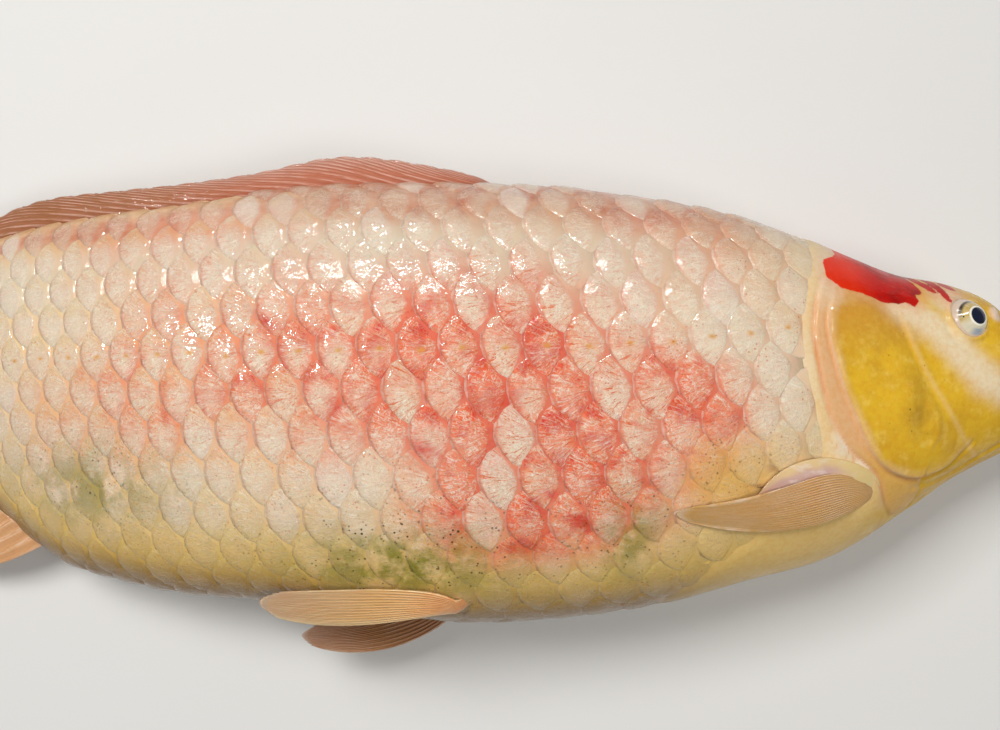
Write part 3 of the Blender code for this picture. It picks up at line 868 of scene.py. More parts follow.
# scales
# Lattice: steps along the body towards the snout, and rows counted up from the lateral line.
scale = {
    "pitch": [(0, 15), (150, 16), (200, 17.3), (300, 17.3), (400, 15.6), (500, 12.8), (595, 11), (660, 11)],
    "row": [(0, 15), (130, 16.5), (200, 18.3), (330, 18.3), (400, 17.2), (480, 14.5), (595, 11), (660, 11)],
    "shear": -0.15,
    "length": 1.3,          # centre to free edge, in steps
    "half": 0.95,           # half width, in rows
    "root": 0.05,
    "fall": 0.78,           # mm lost in a step towards the root
    "pillow": 0.75,         # mm of bulge in the part that shows
    "thick": 0.88,
    "rows": (-9, 8),
    "first": 112,
    "last": 612,
    "wide": (64, 32, 16),   # size of the lattice map, and the row that lies in its middle
    "carrier": (96, 645),   # the stretch of the body that carries the lattice
    "leastCoat": 0.4,       # no scale where the coat is thinner than this
    "ridgeGap": 0.42,       # rows left free at both ridges
    "patch": 0.88,          # share of its cell of the lattice that a scale has on the bake map
    "uneven": {"place": 0.02, "turn": 0.035, "size": 0.015},
    "across": 8,
    "unwrap": 660.0,        # mm of body along the whole width of the bake map
    "steps": (0, 0.42, 0.68, 0.83, 0.92, 1.0),
    "seed": 11,
    "overFloor": 0.00015,   # metres
    # mood (how red) and tone (how white) of a few scales that stand out
    "chosen": [(260, -29, (-1.2, 1.0)), (263, 5, (1.7, 0.0)), (240, 27, (1.4, 0.1)), (278, -14, (1.3, 0.2)),
               (232, -12, (1.3, 0.2)), (308, -10, (1.2, 0.1)), (300, 40, (1.3, 0.2)), (248, 45, (1.2, 0.3)),
               (291, 24, (1.5, 0.1)), (272, 32, (1.2, 0.2)), (196, -4, (1.3, 0.1)), (181, 4, (1.1, 0.2)),
               (250, -12, (-0.6, 0.8)), (222, -30, (1.3, 0.1)), (226, -54, (1.4, 0.1)),
               (275, -28, (1.1, 0.2))],
}
alongTable = np.arange(0, 661.0)
stepTable = np.concatenate([[0], np.cumsum(1 / knotsAt(scale["pitch"], alongTable[:-1] + 0.5))])
stepTable = stepTable[-1] - stepTable


def lensPart(k, j):
    # how far in a point of a scale lies: 0 at the free edge, 1 where the next scale covers it
    free = scale["length"] * np.sqrt(np.clip(1 - (j / scale["half"]) ** 2, 0, 1))
    narrow = np.clip(np.abs(j) / 0.77, 0, 1.3)
    start, end = -free, -0.3 - 0.46 * narrow**1.6
    return (k - start) / np.maximum(end - start, 0.08), narrow


def makeTemplate():
    # one scale on the lattice, x towards the snout, y across, z in mm; closed
    turns = np.radians(np.linspace(-84, 84, scale["across"] + 1))
    edge = np.stack([-scale["length"] * np.cos(turns), scale["half"] * np.sin(turns)], axis=1)
    root = np.stack([np.full(turns.shape, scale["root"]), 0.72 * scale["half"] * np.sin(turns)], axis=1)
    points = []
    for step in scale["steps"]:
        flat = root + (edge - root) * step
        part, narrow = lensPart(flat[:, 0], flat[:, 1])
        lift = -scale["fall"] * (flat[:, 0] + scale["length"])
        lift += scale["pillow"] * np.clip(4 * part * (1 - part), 0, 1) * (1 - narrow**2).clip(0, 1)
        lift -= scale["thick"] * max(0.0, (step - 0.84) / 0.16) ** 2 * 0.72
        points.append(np.column_stack([flat, lift]))
    columns = len(turns)
    under = points[-1].copy()
    under[:, 2] = -scale["thick"]
    back = points[0].copy()
    back[:, 2] -= 0.25
    verts = np.vstack(points + [under, back])
    faces = gridFaces(len(points) + 2, columns, False).tolist()
    last = (len(points) + 1) * columns
    faces += [[j, j + 1, last + j + 1, last + j][::-1] for j in range(columns - 1)]
    for column in (0, columns - 1):
        ring = [i * columns + column for i in range(len(points) + 2)]
        faces.append(ring if column else ring[::-1])
    mesh = meshFrom("scaleTemplate", verts, faces)
    turnOutward(mesh)
    vertex, face = corners(mesh)
    addMap(mesh, "scaleMap", np.stack([(verts[vertex, 0] + 1.4) / 2, verts[vertex, 1] / 2 + 0.5], axis=1))
    # on the bake patch the top lies beside the underside, so no part covers another
    row, column = np.divmod(np.arange(len(verts)), columns)
    topRows = len(points)
    across = column / (columns - 1)
    top = 0.66 * row / (topRows - 1)
    below = 0.72 + 0.26 * (row - topRows + 1) / 2
    highest = np.zeros(len(mesh.polygons), dtype=np.int64)
    np.maximum.at(highest, face, row[vertex])
    lower = np.where(row[vertex] == 0, 0.98, below[vertex])
    patch = np.where(highest[face] >= topRows, lower, top[vertex])
    addMap(mesh, "patch", np.stack([patch, across[vertex]], axis=1))
    return addObject("scaleTemplate", mesh)


def lateralArc(stations, table):
    turn = angleOf(stations, sideLine(stations))
    return np.array([np.interp(a, fineAngles, row) for a, row in zip(turn, table)])


def makeCarrier(side):
    # the plain body with the lattice for its map, a little past both ridges
    stations = np.arange(*scale["carrier"], 3.0)
    table = arcTable(stations)
    middle = lateralArc(stations, table)
    parts = np.linspace(-0.14, 1.14, 190)
    angles = np.empty((len(stations), len(parts)))
    rowNumber = np.empty(angles.shape)
    for i, row in enumerate(table):
        arc = parts * row[-1]
        folded = np.where(arc < 0, -arc, np.where(arc > row[-1], 2 * row[-1] - arc, arc))
        turn = np.interp(folded, row, fineAngles)
        angles[i] = np.where(arc < 0, -turn, np.where(arc > row[-1], 2 * math.pi - turn, turn))
        rowNumber[i] = (middle[i] - arc) / knotsAt(scale["row"], stations[i])
    s = np.broadcast_to(stations[:, None], angles.shape)
    points = bodyPoints(s, side * angles, 0.0, 0.5)
    _, _, normalUp, normalSide = sectionAt(s, side * angles)
    steps = np.interp(s, alongTable, stepTable) - scale["shear"] * rowNumber
    mesh = meshFrom("carrier", points.reshape(-1, 3), gridFaces(*angles.shape, False).tolist())
    width, height, middleRow = scale["wide"]
    uv = np.stack([steps / width, (rowNumber + middleRow) / height], axis=-1).reshape(-1, 2)
    addMap(mesh, "lattice", uv[corners(mesh)[0]])
    outward = np.stack([np.zeros(s.shape), normalUp, normalSide], axis=-1).astype(np.float32)
    mesh.attributes.new("outward", "FLOAT_VECTOR", "POINT").data.foreach_set("vector", outward.ravel())
    return addObject("carrier", mesh)


def flatAmount(s, h):
    # where the scales lie low: the throat, the chest behind the fin and the belly's lower edge
    throat = smooth((-h - 38) / 25) * smooth((205 - s) / 40)
    chest = bell(math.hypot((s - 158) / 30, (h + 38) / 22))
    depth = (h - bellyLine(s)) / (backLine(s) - bellyLine(s))
    low = smooth((0.22 - depth) / 0.12) * smooth((430 - s) / 60)
    return max(throat, chest, 0.7 * low, 0.55 * smooth((168 - s) / 30))


bakeNames = ("bakeAlong", "bakeRound", "bakeWide", "bakeTall")


def makeSeeds(side):
    # one point for each scale, with its own turn, size, tone and depth
    random = np.random.default_rng(scale["seed"] + (side < 0))
    uneven = scale["uneven"]
    stations = np.arange(*scale["carrier"], 1.0)
    table = arcTable(stations)
    middle = lateralArc(stations, table)
    whole = table[:, -1]
    spots, data = [], []
    for row in range(*scale["rows"]):
        for step in range(scale["wide"][0]):
            k, j = step + 0.5 * (row % 2), row
            lens = k - 0.8 + scale["shear"] * j
            s = np.interp(lens, stepTable[::-1], alongTable[::-1])
            rootS = np.interp(k + scale["shear"] * j, stepTable[::-1], alongTable[::-1])
            arc = np.interp(s, stations, middle) - j * knotsAt(scale["row"], s)
            total = np.interp(s, stations, whole)
            margin = scale["ridgeGap"] * knotsAt(scale["row"], s)
            if s < scale["first"] or s > scale["last"] or arc < margin or arc > total - margin:
                continue
            turn = np.interp(arc, arcTable(np.array([s]))[0], fineAngles)
            h = sectionAt(s, turn)[0]
            amount = coatAmount(np.array([float(s)]), np.array([float(h)]))[0]
            rise = knotsAt(scale["pitch"], s) / scale["pitch"][2][1]
            if amount < scale["leastCoat"] or rootS < scale["first"] - 14:
                continue
            flat = flatAmount(s, h)
            tail = smooth((s - 575) / 32)
            sink = (1 - amount) * 1.3 + 0.4 * flat + 0.5 * tail
            spots.append((k + random.normal(0, uneven["place"]), j + random.normal(0, uneven["place"]), 0))
            mood, tone = random.random(), random.random()
            for place, height, chosen in scale["chosen"]:
                if side > 0 and math.hypot(s - place, (h - height) * 0.8) < 8:
                    mood, tone = chosen
            wide = scale["patch"] * knotsAt(scale["pitch"], s) / scale["unwrap"]
            tall = scale["patch"] * knotsAt(scale["row"], s) / total
            data.append((random.normal(0, uneven["turn"]), random.normal(1, uneven["size"]), tone, sink,
                         rise * (1 - 0.45 * flat) * (1 - 0.35 * tail), float(j == 0), mood,
                         s / scale["unwrap"], arc / total, wide, tall))
    mesh = bpy.data.meshes.new("seeds")
    mesh.from_pydata(spots, [], [])
    names = ("turn", "grow", "tone", "sink", "rise", "poreRow", "mood", *bakeNames)
    addValues(mesh, dict(zip(names, zip(*data))))
    return addObject("scales" + ("Right" if side > 0 else "Left"), mesh)


def newGroup(name, inputs):
    # an empty tree with named inputs, and its inputs as values
    group = bpy.data.node_groups.new(name, "GeometryNodeTree")
    group.interface.new_socket("Geometry", in_out="OUTPUT", socket_type="NodeSocketGeometry")
    for label, kind in {"Geometry": "Geometry", **inputs}.items():
        group.interface.new_socket(label, in_out="INPUT", socket_type="NodeSocket" + kind)
    w = Wires(group)
    source = w.node("NodeGroupInput").outputs
    return group, w, {label: Flow(w, source[label]) for label in ("Geometry", *inputs)}


def closeGroup(w, geometry, look):
    dressed = w.make("GeometryNodeSetMaterial", {"Geometry": geometry, "Material": look})
    w.node("NodeGroupOutput", {"Geometry": dressed})


def runGroup(piece, group, values):
    # run the tree on a piece and keep the result as a plain mesh
    modifier = piece.modifiers.new("grow", "NODES")
    modifier.node_group = group
    for item in group.interface.items_tree:
        if item.in_out == "INPUT" and item.name in values:
            modifier[item.identifier] = values[item.name]
    graph = bpy.context.evaluated_depsgraph_get()
    graph.update()
    mesh = bpy.data.meshes.new_from_object(piece.evaluated_get(graph), depsgraph=graph)
    piece.modifiers.clear()
    old = piece.data
    piece.data = mesh
    bpy.data.meshes.remove(old)
    mesh.name = piece.name
    return mesh


def scaleGroup():
    # instances on the lattice, realized, then laid on the body by its lattice map
    inputs = {"Template": "Object", "Carrier": "Object", "Floor": "Float", "Look": "Material"}
    group, w, source = newGroup("layScales", inputs)
    template = w.make("GeometryNodeObjectInfo", {"Object": source["Template"]}, "Geometry")
    carrier = w.make("GeometryNodeObjectInfo", {"Object": source["Carrier"]}, "Geometry")
    spin = w.join(0.0, 0.0, w.named("turn"))
    placed = w.make("GeometryNodeInstanceOnPoints", {"Points": source["Geometry"], "Instance": template,
                                                     "Rotation": spin, "Scale": w.named("grow")})
    real = w.make("GeometryNodeRealizeInstances", {"Geometry": placed})
    position = w.make("GeometryNodeInputPosition")
    step, row, rise = w.split(position)
    width, height, middleRow = scale["wide"]
    uv = w.join(step / width, (row + middleRow) / height)

    def sampled(value):
        inputs = {"Mesh": carrier, "Value": value, "Source UV Map": w.named("lattice", "FLOAT_VECTOR"),
                  "Sample UV": uv}
        return w.make("GeometryNodeSampleUVSurface", inputs, "Value", data_type="FLOAT_VECTOR")

    lift = (rise * w.named("rise") - w.named("sink")) * mm
    outward = sampled(w.named("outward", "FLOAT_VECTOR"))
    shift = w.make("ShaderNodeVectorMath", {0: outward, "Scale": lift}, operation="SCALE")
    x, y, z = w.split(w.make("ShaderNodeVectorMath", {0: sampled(position), 1: shift}, operation="ADD"))
    final = w.join(x, y, w.math("MAXIMUM", z, source["Floor"]))
    closeGroup(w, w.make("GeometryNodeSetPosition", {"Geometry": real, "Position": final}), source["Look"])
    return group


def readValues(mesh, name):
    values = np.empty(len(mesh.vertices), dtype=np.float32)
    mesh.attributes[name].data.foreach_get("value", values)
    return values


def bakeMap(mesh):
    # each scale has a patch of its own at its place on an unwrap of the body: along it and round it
    vertex, _ = corners(mesh)
    patch = np.empty(len(vertex) * 2, dtype=np.float32)
    mesh.uv_layers["patch"].data.foreach_get("uv", patch)
    patch = patch.reshape(-1, 2) - 0.5
    along, around, wide, tall = (readValues(mesh, name)[vertex] for name in bakeNames)
    uv = np.stack([along + patch[:, 0] * wide, around + patch[:, 1] * tall], axis=1)
    mesh.uv_layers.remove(mesh.uv_layers["patch"])
    addMap(mesh, "OFBake", np.clip(uv, 0, 1))
    for name in bakeNames:
        mesh.attributes.remove(mesh.attributes[name])


def makeScales(material):
    group = scaleGroup()
    template = makeTemplate()
    for side in (1, -1):
        carrier = makeCarrier(side)
        piece = makeSeeds(side)
        inputs = {"Template": template, "Carrier": carrier, "Floor": scale["overFloor"], "Look": material}
        mesh = runGroup(piece, group, inputs)
        bakeMap(mesh)
        addMarkings(mesh)
        dress(piece, "body_skin")
        bpy.data.objects.remove(carrier)
        print("scales", piece.name, len(mesh.polygons))
    bpy.data.objects.remove(template)


def scaleLens(w, places):
    # steps in from the tip, rows aside, the part that shows from edge to cover, and the lens it makes
    mapAlong, mapAcross, _ = w.split(w.make("ShaderNodeUVMap", uv_map="scaleMap"))
    k = mapAlong * 2.0 - 0.1
    j = (mapAcross - 0.5) * 2.0
    aside = abs(j)
    free = w.math("SQRT", w.math("MAXIMUM", 1.0 - (aside / scale["half"]) ** 2.0, 0.0))
    fromEdge = k - (1.0 - free) * scale["length"]
    fromCover = 1.0 - (aside / 0.77) ** 1.6 * 0.46 - k
    wide = w.math("MAXIMUM", fromEdge + fromCover, 0.12)
    part = fromEdge / wide + (w.noise(places, 260, 2) - 0.5) * 0.14
    wider = 1.04 - w.attribute("backness") * 0.14
    inner = wider - (0.12 + w.attribute("backness") * 0.1)
    return k, j, part, w.ramp(part, 0.03, 0.13) * w.ramp(part, wider, inner)


def scaleMaterial():
    material, w, shader = newMaterial("scaleSkin")
    places = w.places()
    k, j, part, lens = scaleLens(w, places)
    tone = w.attribute("tone")
    mood = w.attribute("mood")
    flush = w.attribute("flush")
    rear = w.attribute("rear")
    back = w.attribute("backness")
    side = w.limit(1.0 - w.attribute("belly"))
    calm = w.limit(1.0 - w.attribute("plain") * 0.75) * (0.3 + side * 0.7)
    calm = calm * (1.0 - w.attribute("backTint") * 0.5)
    # fine rays that fan out from the root side of each scale, and wrinkles that cross them
    turn = w.math("ARCTAN2", j, 1.25 - k)
    far = w.math("SQRT", j ** 2.0 + (1.25 - k) ** 2.0)
    fan = w.join(turn * 8.0, far * 1.3, tone * 60.0)
    streaks = w.noise(fan, 2.0, 4, 0.7, 1.0)
    veins = w.noise(fan, 1.6, 4, 0.75, 1.6)
    wrinkle = abs(w.noise(places, 330, 3, 0.6, 1.2) - 0.5)
    shade = abs(w.noise(places, 270, 3, 0.6, 1.4) - 0.52)
    blotch = w.noise(places, 95, 4, 0.65)
    clear = lens * side * (1.0 - w.attribute("plain"))
    honey = rear * side * w.ramp(j + (blotch - 0.5), -0.1, 0.5, 0.0, 0.5)
    amount = flush * w.ramp(mood * 0.6 + blotch * 0.9, 0.35, 1.0, 0.35, 1.3)
    # pale patch low in the middle of each scale: partly the scale's own pale centre, partly a painted sheen
    paleMiddleAndSheen = w.bell((part - 0.55) / 0.36, (j + 0.22) / 0.42)
    pallor = w.ramp(tone - mood * 0.35, -0.2, 0.8, 0.3, 0.95)
    pallor = w.math("MAXIMUM", pallor, rear * side * 0.6)
    frost = back * lens * (1.0 - w.attribute("plain")) * (0.42 - w.attribute("backTint") * 0.42)
    pale = w.ramp(streaks, 0.52, 0.62) * lens * w.ramp(w.noise(places, 130, 2), 0.3, 0.7, 0.2, 0.8) * calm
    # pale threads: partly wrinkles of the skin, partly painted glints on its wet film
    paleThreadAndGlint = w.ramp(wrinkle, 0.05, 0.015) * lens * calm * w.ramp(blotch, 0.6, 0.4, 0.25, 0.75)
    redThread = w.ramp(shade, 0.04, 0.01) * lens * calm * (flush * 0.3 + 0.2)
    redRay = w.ramp(veins, 0.54, 0.62) * lens * (flush * 0.75 + 0.16) * calm
    # soft tissue between the scales, red in the flush, orange to the rear, grey cream on the back: partly its
    # own colour, partly painted shade where each scale goes under the next
    pocket = w.layers((0.76, 0.36, 0.22), [
        (rear, (0.78, 0.48, 0.22)),
        (back, (0.60, 0.50, 0.37)),
        (w.attribute("backTint") * 0.8, (0.72, 0.28, 0.16)),
        (flush * (1.0 - back), (0.72, 0.17, 0.11)),
    ])
    # painted shade in the crevices, mixed with the tissue's own colour
    crease = (1.0 - lens) * (flush * 0.3 + 0.42) * calm
    # the free edge is a clear white line with a rosy one inside it; the white is partly a painted highlight
    # on the edge
    rosy = w.ramp(part, 0.06, 0.10) * w.ramp(part, 0.17, 0.11) * calm * (flush * 0.5 + 0.16)
    rim = w.ramp(part, 0.09, 0.04) * w.ramp(streaks, 0.3, 0.6, 0.35, 0.8) * calm
    rimTint = w.mix(flush, (0.90, 0.74, 0.60), (0.90, 0.56, 0.46))
    # painted shade: the side wall under each free edge is tinted a warm red-orange
    wallShade = w.ramp(part, 0.035, -0.02) * calm
    wallShadeTint = w.mix(rear, (0.84, 0.36, 0.24), (0.84, 0.50, 0.28))
    pore = w.bell((j + 0.04) / 0.06, (part - 0.62) / 0.09) * w.attribute("poreRow")
    # rusty dots, moss and pepper
    dots = w.ramp(w.cells(places, 440), 0.24, 0.10) * w.ramp(w.noise(places, 75, 2), 0.48, 0.60)
    dotTint = w.mix(rear, (0.50, 0.08, 0.03), (0.60, 0.20, 0.03))
    moss = w.limit(w.attribute("speck") * w.ramp(w.noise(places, 60, 4, 0.65), 0.36, 0.6))
    here = w.attribute("peppered") * w.ramp(w.noise(places, 110, 2), 0.42, 0.6)
    coarseGrains = w.ramp(w.cells(places, 210), 0.17, 0.09)
    pepper = w.math("MAXIMUM", w.ramp(w.cells(places, 430), 0.27, 0.12), coarseGrains)
    colour = w.layers(carpColour(w, places), [
        (w.ramp(tone, 0.5, 1.0, 0.0, 0.6) * clear, "lilacWhite"),
        (honey, (0.82, 0.58, 0.26)),
        (amount * 0.85, "pink"),
        (amount * amount * w.ramp(blotch, 0.46, 0.66, 0.0, 0.85), "blotch"),
        (paleMiddleAndSheen * lens * calm * pallor, (0.81, 0.68, 0.52)),
        (frost, (0.67, 0.59, 0.48)),
        (pale * 0.85, (0.93, 0.83, 0.71)),
        (paleThreadAndGlint, (0.92, 0.80, 0.66)),
        (redThread, (0.66, 0.27, 0.12)),
        (redRay, (0.70, 0.13, 0.04)),
        (crease, pocket),
        (rosy, (0.74, 0.20, 0.12)),
        (rim, rimTint),
        (wallShade * 0.75, wallShadeTint),
        (pore * 0.8, (0.72, 0.32, 0.04)),
        (w.attribute("spot") * 0.9, "deepRed"),
        (dots * (1.0 - back * 0.7) * 0.6, dotTint),
        (moss * 0.95, "moss"),
        (w.limit(pepper * here) * 0.9, "soot"),
    ])
    height = (streaks + w.ramp(wrinkle, 0.05, 0.0) * 0.4) * lens + w.noise(places, 420, 3, 0.6) * 0.35
    setShader(w, shader, {
        **flesh,
        "Base Color": colour,
        "Normal": w.bump(height, 0.0007, 0.6),
        "Roughness": w.ramp(w.noise(places, 180, 3), 0.3, 0.7, 0.28, 0.46),
        "Coat Normal": ripples(w, places, 170),
        "Coat Weight": 0.62,
        "Coat Roughness": 0.04,
    })
    return material


# fins
# Every fin is a surface (u, v): u from the root to the tip, v from the leading edge to the trailing one.
def bezier(points, t):
    p = np.array(points, dtype=float)
    t = np.asarray(t, dtype=float)[..., None]
    return (1 - t) ** 3 * p[0] + 3 * (1 - t) ** 2 * t * p[1] + 3 * (1 - t) * t * t * p[2] + t**3 * p[3]


def worldPoints(s, h, z):
    s, h, z = np.broadcast_arrays(s, h, z)
    return np.stack([snoutX - s * mm, spineY + h * mm, np.maximum(z, 0.3) * mm], axis=-1)


pectoral = {
    "upper": [(109, -33), (132, -21), (138, -38), (191, -43)],
    "lower": [(105, -41), (120, -50), (151, -59), (191, -47)],
    "arch": {1: 3.2, -1: 1.0},
}
finFoot = {
    "upper": [(102, -32), (116, -19), (145, -18), (156, -39)],
    "lower": [(101, -42), (112, -38), (128, -33), (156, -42)],
    "arch": 1.4,
}
pelvic = {
    "inner": {1: [(282, 142, 0.8), (296, 133, 1), (328, 142, 1.5), (368, 149, 3)],
              -1: [(285, 152, 0.8), (310, 154, 4), (335, 160, 10), (354, 171, 15)]},
    "outer": {1: [(282, 149, 0.8), (304, 150, 2), (342, 166, 13), (369, 161, 5)],
              -1: [(282, 164, 1), (297, 170, 16), (332, 177, 28), (357, 176, 18)]},
}
dorsal = {
    "height": [(262, -1.5), (274, 3.4), (292, 7.4), (336, 12.7), (374, 8.7), (440, 9.5), (505, 10),
               (534, 4)],
    "baseEnd": 492,
    "lean": 0.12,
}
caudal = {
    1: {"outer": [(595, 52), (632, 60), (672, 90), (710, 100)],
        "inner": [(595, 14.7), (684, 14.7), (664, 38), (723, 83)]},
    -1: {"outer": [(595, -23), (632, -31), (670, -61), (705, -71)],
         "inner": [(595, 14.3), (682, 14.3), (662, -10), (719, -54)]},
    "length": 128,
}
anal = {"root": (479, 522), "front": (545, -80), "rear": (552, -70), "bow": 7}
dorsalHeight = smoothLine(dorsal["height"])


def lobePoints(lobe, side, u, v, lift):
    # between the two edges of a fin that lies against the flank
    near, far = bezier(lobe["upper"], u), bezier(lobe["lower"], u)
    s, h = np.moveaxis(near + (far - near) * v[..., None], -1, 0)
    return bodyPoints(s, side * angleOf(s, h), lift, 0.3)


def pectoralPlace(side):
    def place(u, v):
        arch = pectoral["arch"][side] * np.sin(math.pi * np.clip(u, 0, 1)) * (1 - v / 2)
        return lobePoints(pectoral, side, u, v, 1.2 + arch - 5 * smooth(-u / 0.14))
    return place


def footPlace(side):
    # the fleshy lobe over the root of the pectoral fin
    def place(u, v):
        arch = finFoot["arch"] * np.sin(math.pi * np.clip(u, 0, 1)) ** 0.7 * (0.3 + 0.7 * v)
        return lobePoints(finFoot, side, u, v, 1.7 * smooth(u / 0.3) - 1.2 + arch - 4 * smooth(-u / 0.1))
    return place


def pelvicPlace(side):
    def place(u, v):
        edges = []
        for name in ("inner", "outer"):
            s, angle, lift = np.moveaxis(bezier(pelvic[name][side], u), -1, 0)
            edges.append(bodyPoints(s, side * np.radians(angle), lift + 1.6 - 6 * smooth(-u / 0.14), 0.3))
        return edges[0] + (edges[1] - edges[0]) * v[..., None]
    return place


def dorsalPlace(u, v):
    # here u climbs from the foot to the folded edge, and v runs back along the ridge
    start, end = dorsal["height"][0][0], dorsal["height"][-1][0]
    s = start + (end - start) * v
    free = np.maximum(s - dorsal["baseEnd"], 0)
    foot = backLine(s) - 2.5 + 0.12 * np.maximum(free - 12, 0) + 2.5 * smooth((free - 10) / 10)
    top = backLine(s) + dorsalHeight(s)
    h = foot + (top - foot) * u
    return worldPoints(s, h, midPlane(s) + dorsal["lean"] * (h - backLine(s)))


def caudalPlace(side):
    def place(u, v):
        outer, inner = bezier(caudal[side]["outer"], u), bezier(caudal[side]["inner"], u)

        def edge(pair):
            part = np.clip((pair[..., 0] - body["tailRoot"]) / (0.6 * caudal["length"]), 0, 1)
            level = 0.5 + (midPlane(595.0) - 0.5) * (1 - part**2) ** 2
            return worldPoints(pair[..., 0] - 4 * (1 - u), pair[..., 1], level + 0.3)
        a, b = edge(outer), edge(inner)
        return a + (b - a) * v[..., None]
    return place


def analPlace(u, v):
    s = anal["root"][0] + (anal["root"][1] - anal["root"][0]) * v
    rootH = bellyLine(s) + 1.5
    tipS = anal["front"][0] + (anal["rear"][0] - anal["front"][0]) * v
    tipH = anal["front"][1] + (anal["rear"][1] - anal["front"][1]) * v
    z = midPlane(s) * (1 - u) + midPlane(tipS) * u
    bow = anal["bow"] * np.sin(math.pi * u) * (1 - v)
    return worldPoints(s + (tipS - s) * u, rootH + (tipH - rootH) * u - bow, z)


def finNormals(points):
    along = np.gradient(points, axis=0)
    across = np.gradient(points, axis=1)
    normal = np.cross(along, across)
    return normal / np.maximum(np.linalg.norm(normal, axis=-1, keepdims=True), 1e-12)


def finSheet(name, place, fin, material):
    # a closed membrane, sunk between its rays, with a soft uneven tip
    rows, columns = fin["grid"]
    u, v = np.meshgrid(np.linspace(-fin["under"], 1, rows), np.linspace(0, 1, columns), indexing="ij")
    ray = (v - fin["slant"] * u) * fin["rays"]
    reach = 1 - fin["ragged"] * (0.5 - 0.5 * np.cos(2 * math.pi * ray)) * smooth((u - 0.8) / 0.2)
    reach -= fin["round"] * np.abs(2 * v - 1) ** 2.5 * smooth((u - 0.6) / 0.4)
    points = place(u * reach, v)
    thick = fin["root"] + (fin["tip"] - fin["root"]) * smooth(np.clip(u, 0, 1) * 1.2)
    rounded = 0.3 + 0.7 * np.sin(math.pi * np.clip(v, 0.02, 0.98)) ** 0.5
    groove = fin["groove"] * smooth(u / 0.3) * (1 - np.cos(2 * math.pi * ray))
    fleshy = fin["flesh"] * (1 - smooth((u - 0.07) / 0.36)) * np.sqrt(np.clip(v * (2 - v), 0, 1))
    half = (thick * rounded * (1 - groove) + fleshy * (1 - groove / 3)) * mm / 2
    offset = finNormals(points) * half[..., None]
    verts = np.vstack([(points + offset).reshape(-1, 3), (points - offset).reshape(-1, 3)])
    verts[:, 2] = np.maximum(verts[:, 2], 0.0002)
    count = rows * columns
    face = gridFaces(rows, columns, False)
    faces = face.tolist() + (face[:, ::-1] + count).tolist()
    rim = [i * columns for i in range(rows)] + [(rows - 1) * columns + j for j in range(1, columns)]
    rim += [i * columns + columns - 1 for i in range(rows - 2, -1, -1)] + list(range(columns - 2, 0, -1))
    faces += [[a, b, b + count, a + count] for a, b in zip(rim, rim[1:] + rim[:1])]
    mesh = meshFrom(name, verts, faces)
    turnOutward(mesh)
    fields = {"alongRay": u, "acrossRays": ray, "alongBase": v}
    addValues(mesh, {label: np.tile(values.ravel(), 2) for label, values in fields.items()})
    return addObject(name, mesh, material)


def rayPaths(fin):
    # two paths for each ray, together at the root and apart towards the tip
    slant = fin["slant"]
    steps = np.linspace(fin["bare"] or 0.02, 1, fin["steps"])
    paths, thickness = [], []
    random = np.random.default_rng(fin["seed"])
    count = fin["rays"]
    for i in range(int(-slant * count), count + int(max(0, -slant) * count) + 1):
        for fork in (-1, 1):
            spread = fork * fin["fork"] * smooth((steps - 0.25) / 0.75) / count
            v = i / count + slant * steps + spread + random.normal(0, 0.03) / count
            keep = (v > 0.004) & (v < 0.996)
            if keep.sum() < 4:
                continue
            short = fin["ragged"] * 0.5 + fin["round"] * np.abs(2 * v[keep] - 1) ** 2.5
            paths.append((steps[keep] * (1 - short), v[keep]))
            thickness.append(fin["rayRoot"] + (fin["rayTip"] - fin["rayRoot"]) * steps[keep] ** 0.7)
    return paths, thickness


def rayGroup():
    # paths of edges become tapered tubes
    group, w, source = newGroup("growRays", {"Sides": "Int", "Look": "Material"})
    curve = w.make("GeometryNodeMeshToCurve", {"Mesh": source["Geometry"]})
    circle = w.make("GeometryNodeCurvePrimitiveCircle", {"Radius": 1.0, "Resolution": source["Sides"]})
    inputs = {"Curve": curve, "Scale": w.named("thick"), "Profile Curve": circle, "Fill Caps": True}
    tube = w.make("GeometryNodeCurveToMesh", inputs)
    closeGroup(w, w.make("GeometryNodeRealizeInstances", {"Geometry": tube}), source["Look"])
    return group


def addRays(name, place, fin, group, material):
    verts, edges, thick, along, base = [], [], [], [], []
    for (u, v), width in zip(*rayPaths(fin)):
        points = place(u, v)
        points[:, 2] = np.maximum(points[:, 2], 0.0008)
        if fin["bare"]:
            width = width * smooth((u - fin["bare"] + 0.03) / 0.16)
        start = len(verts)
        verts += points.tolist()
        edges += [(start + i, start + i + 1) for i in range(len(u) - 1)]
        thick += (width * mm).tolist()
        along += u.tolist()
        base += v.tolist()
    mesh = bpy.data.meshes.new(name)
    mesh.from_pydata(verts, edges, [])
    addValues(mesh, {"thick": thick, "alongRay": along, "alongBase": base})
    piece = addObject(name, mesh)
    made = runGroup(piece, group, {"Sides": 6, "Look": material})
    made.shade_smooth()
    turnOutward(made)
    return piece


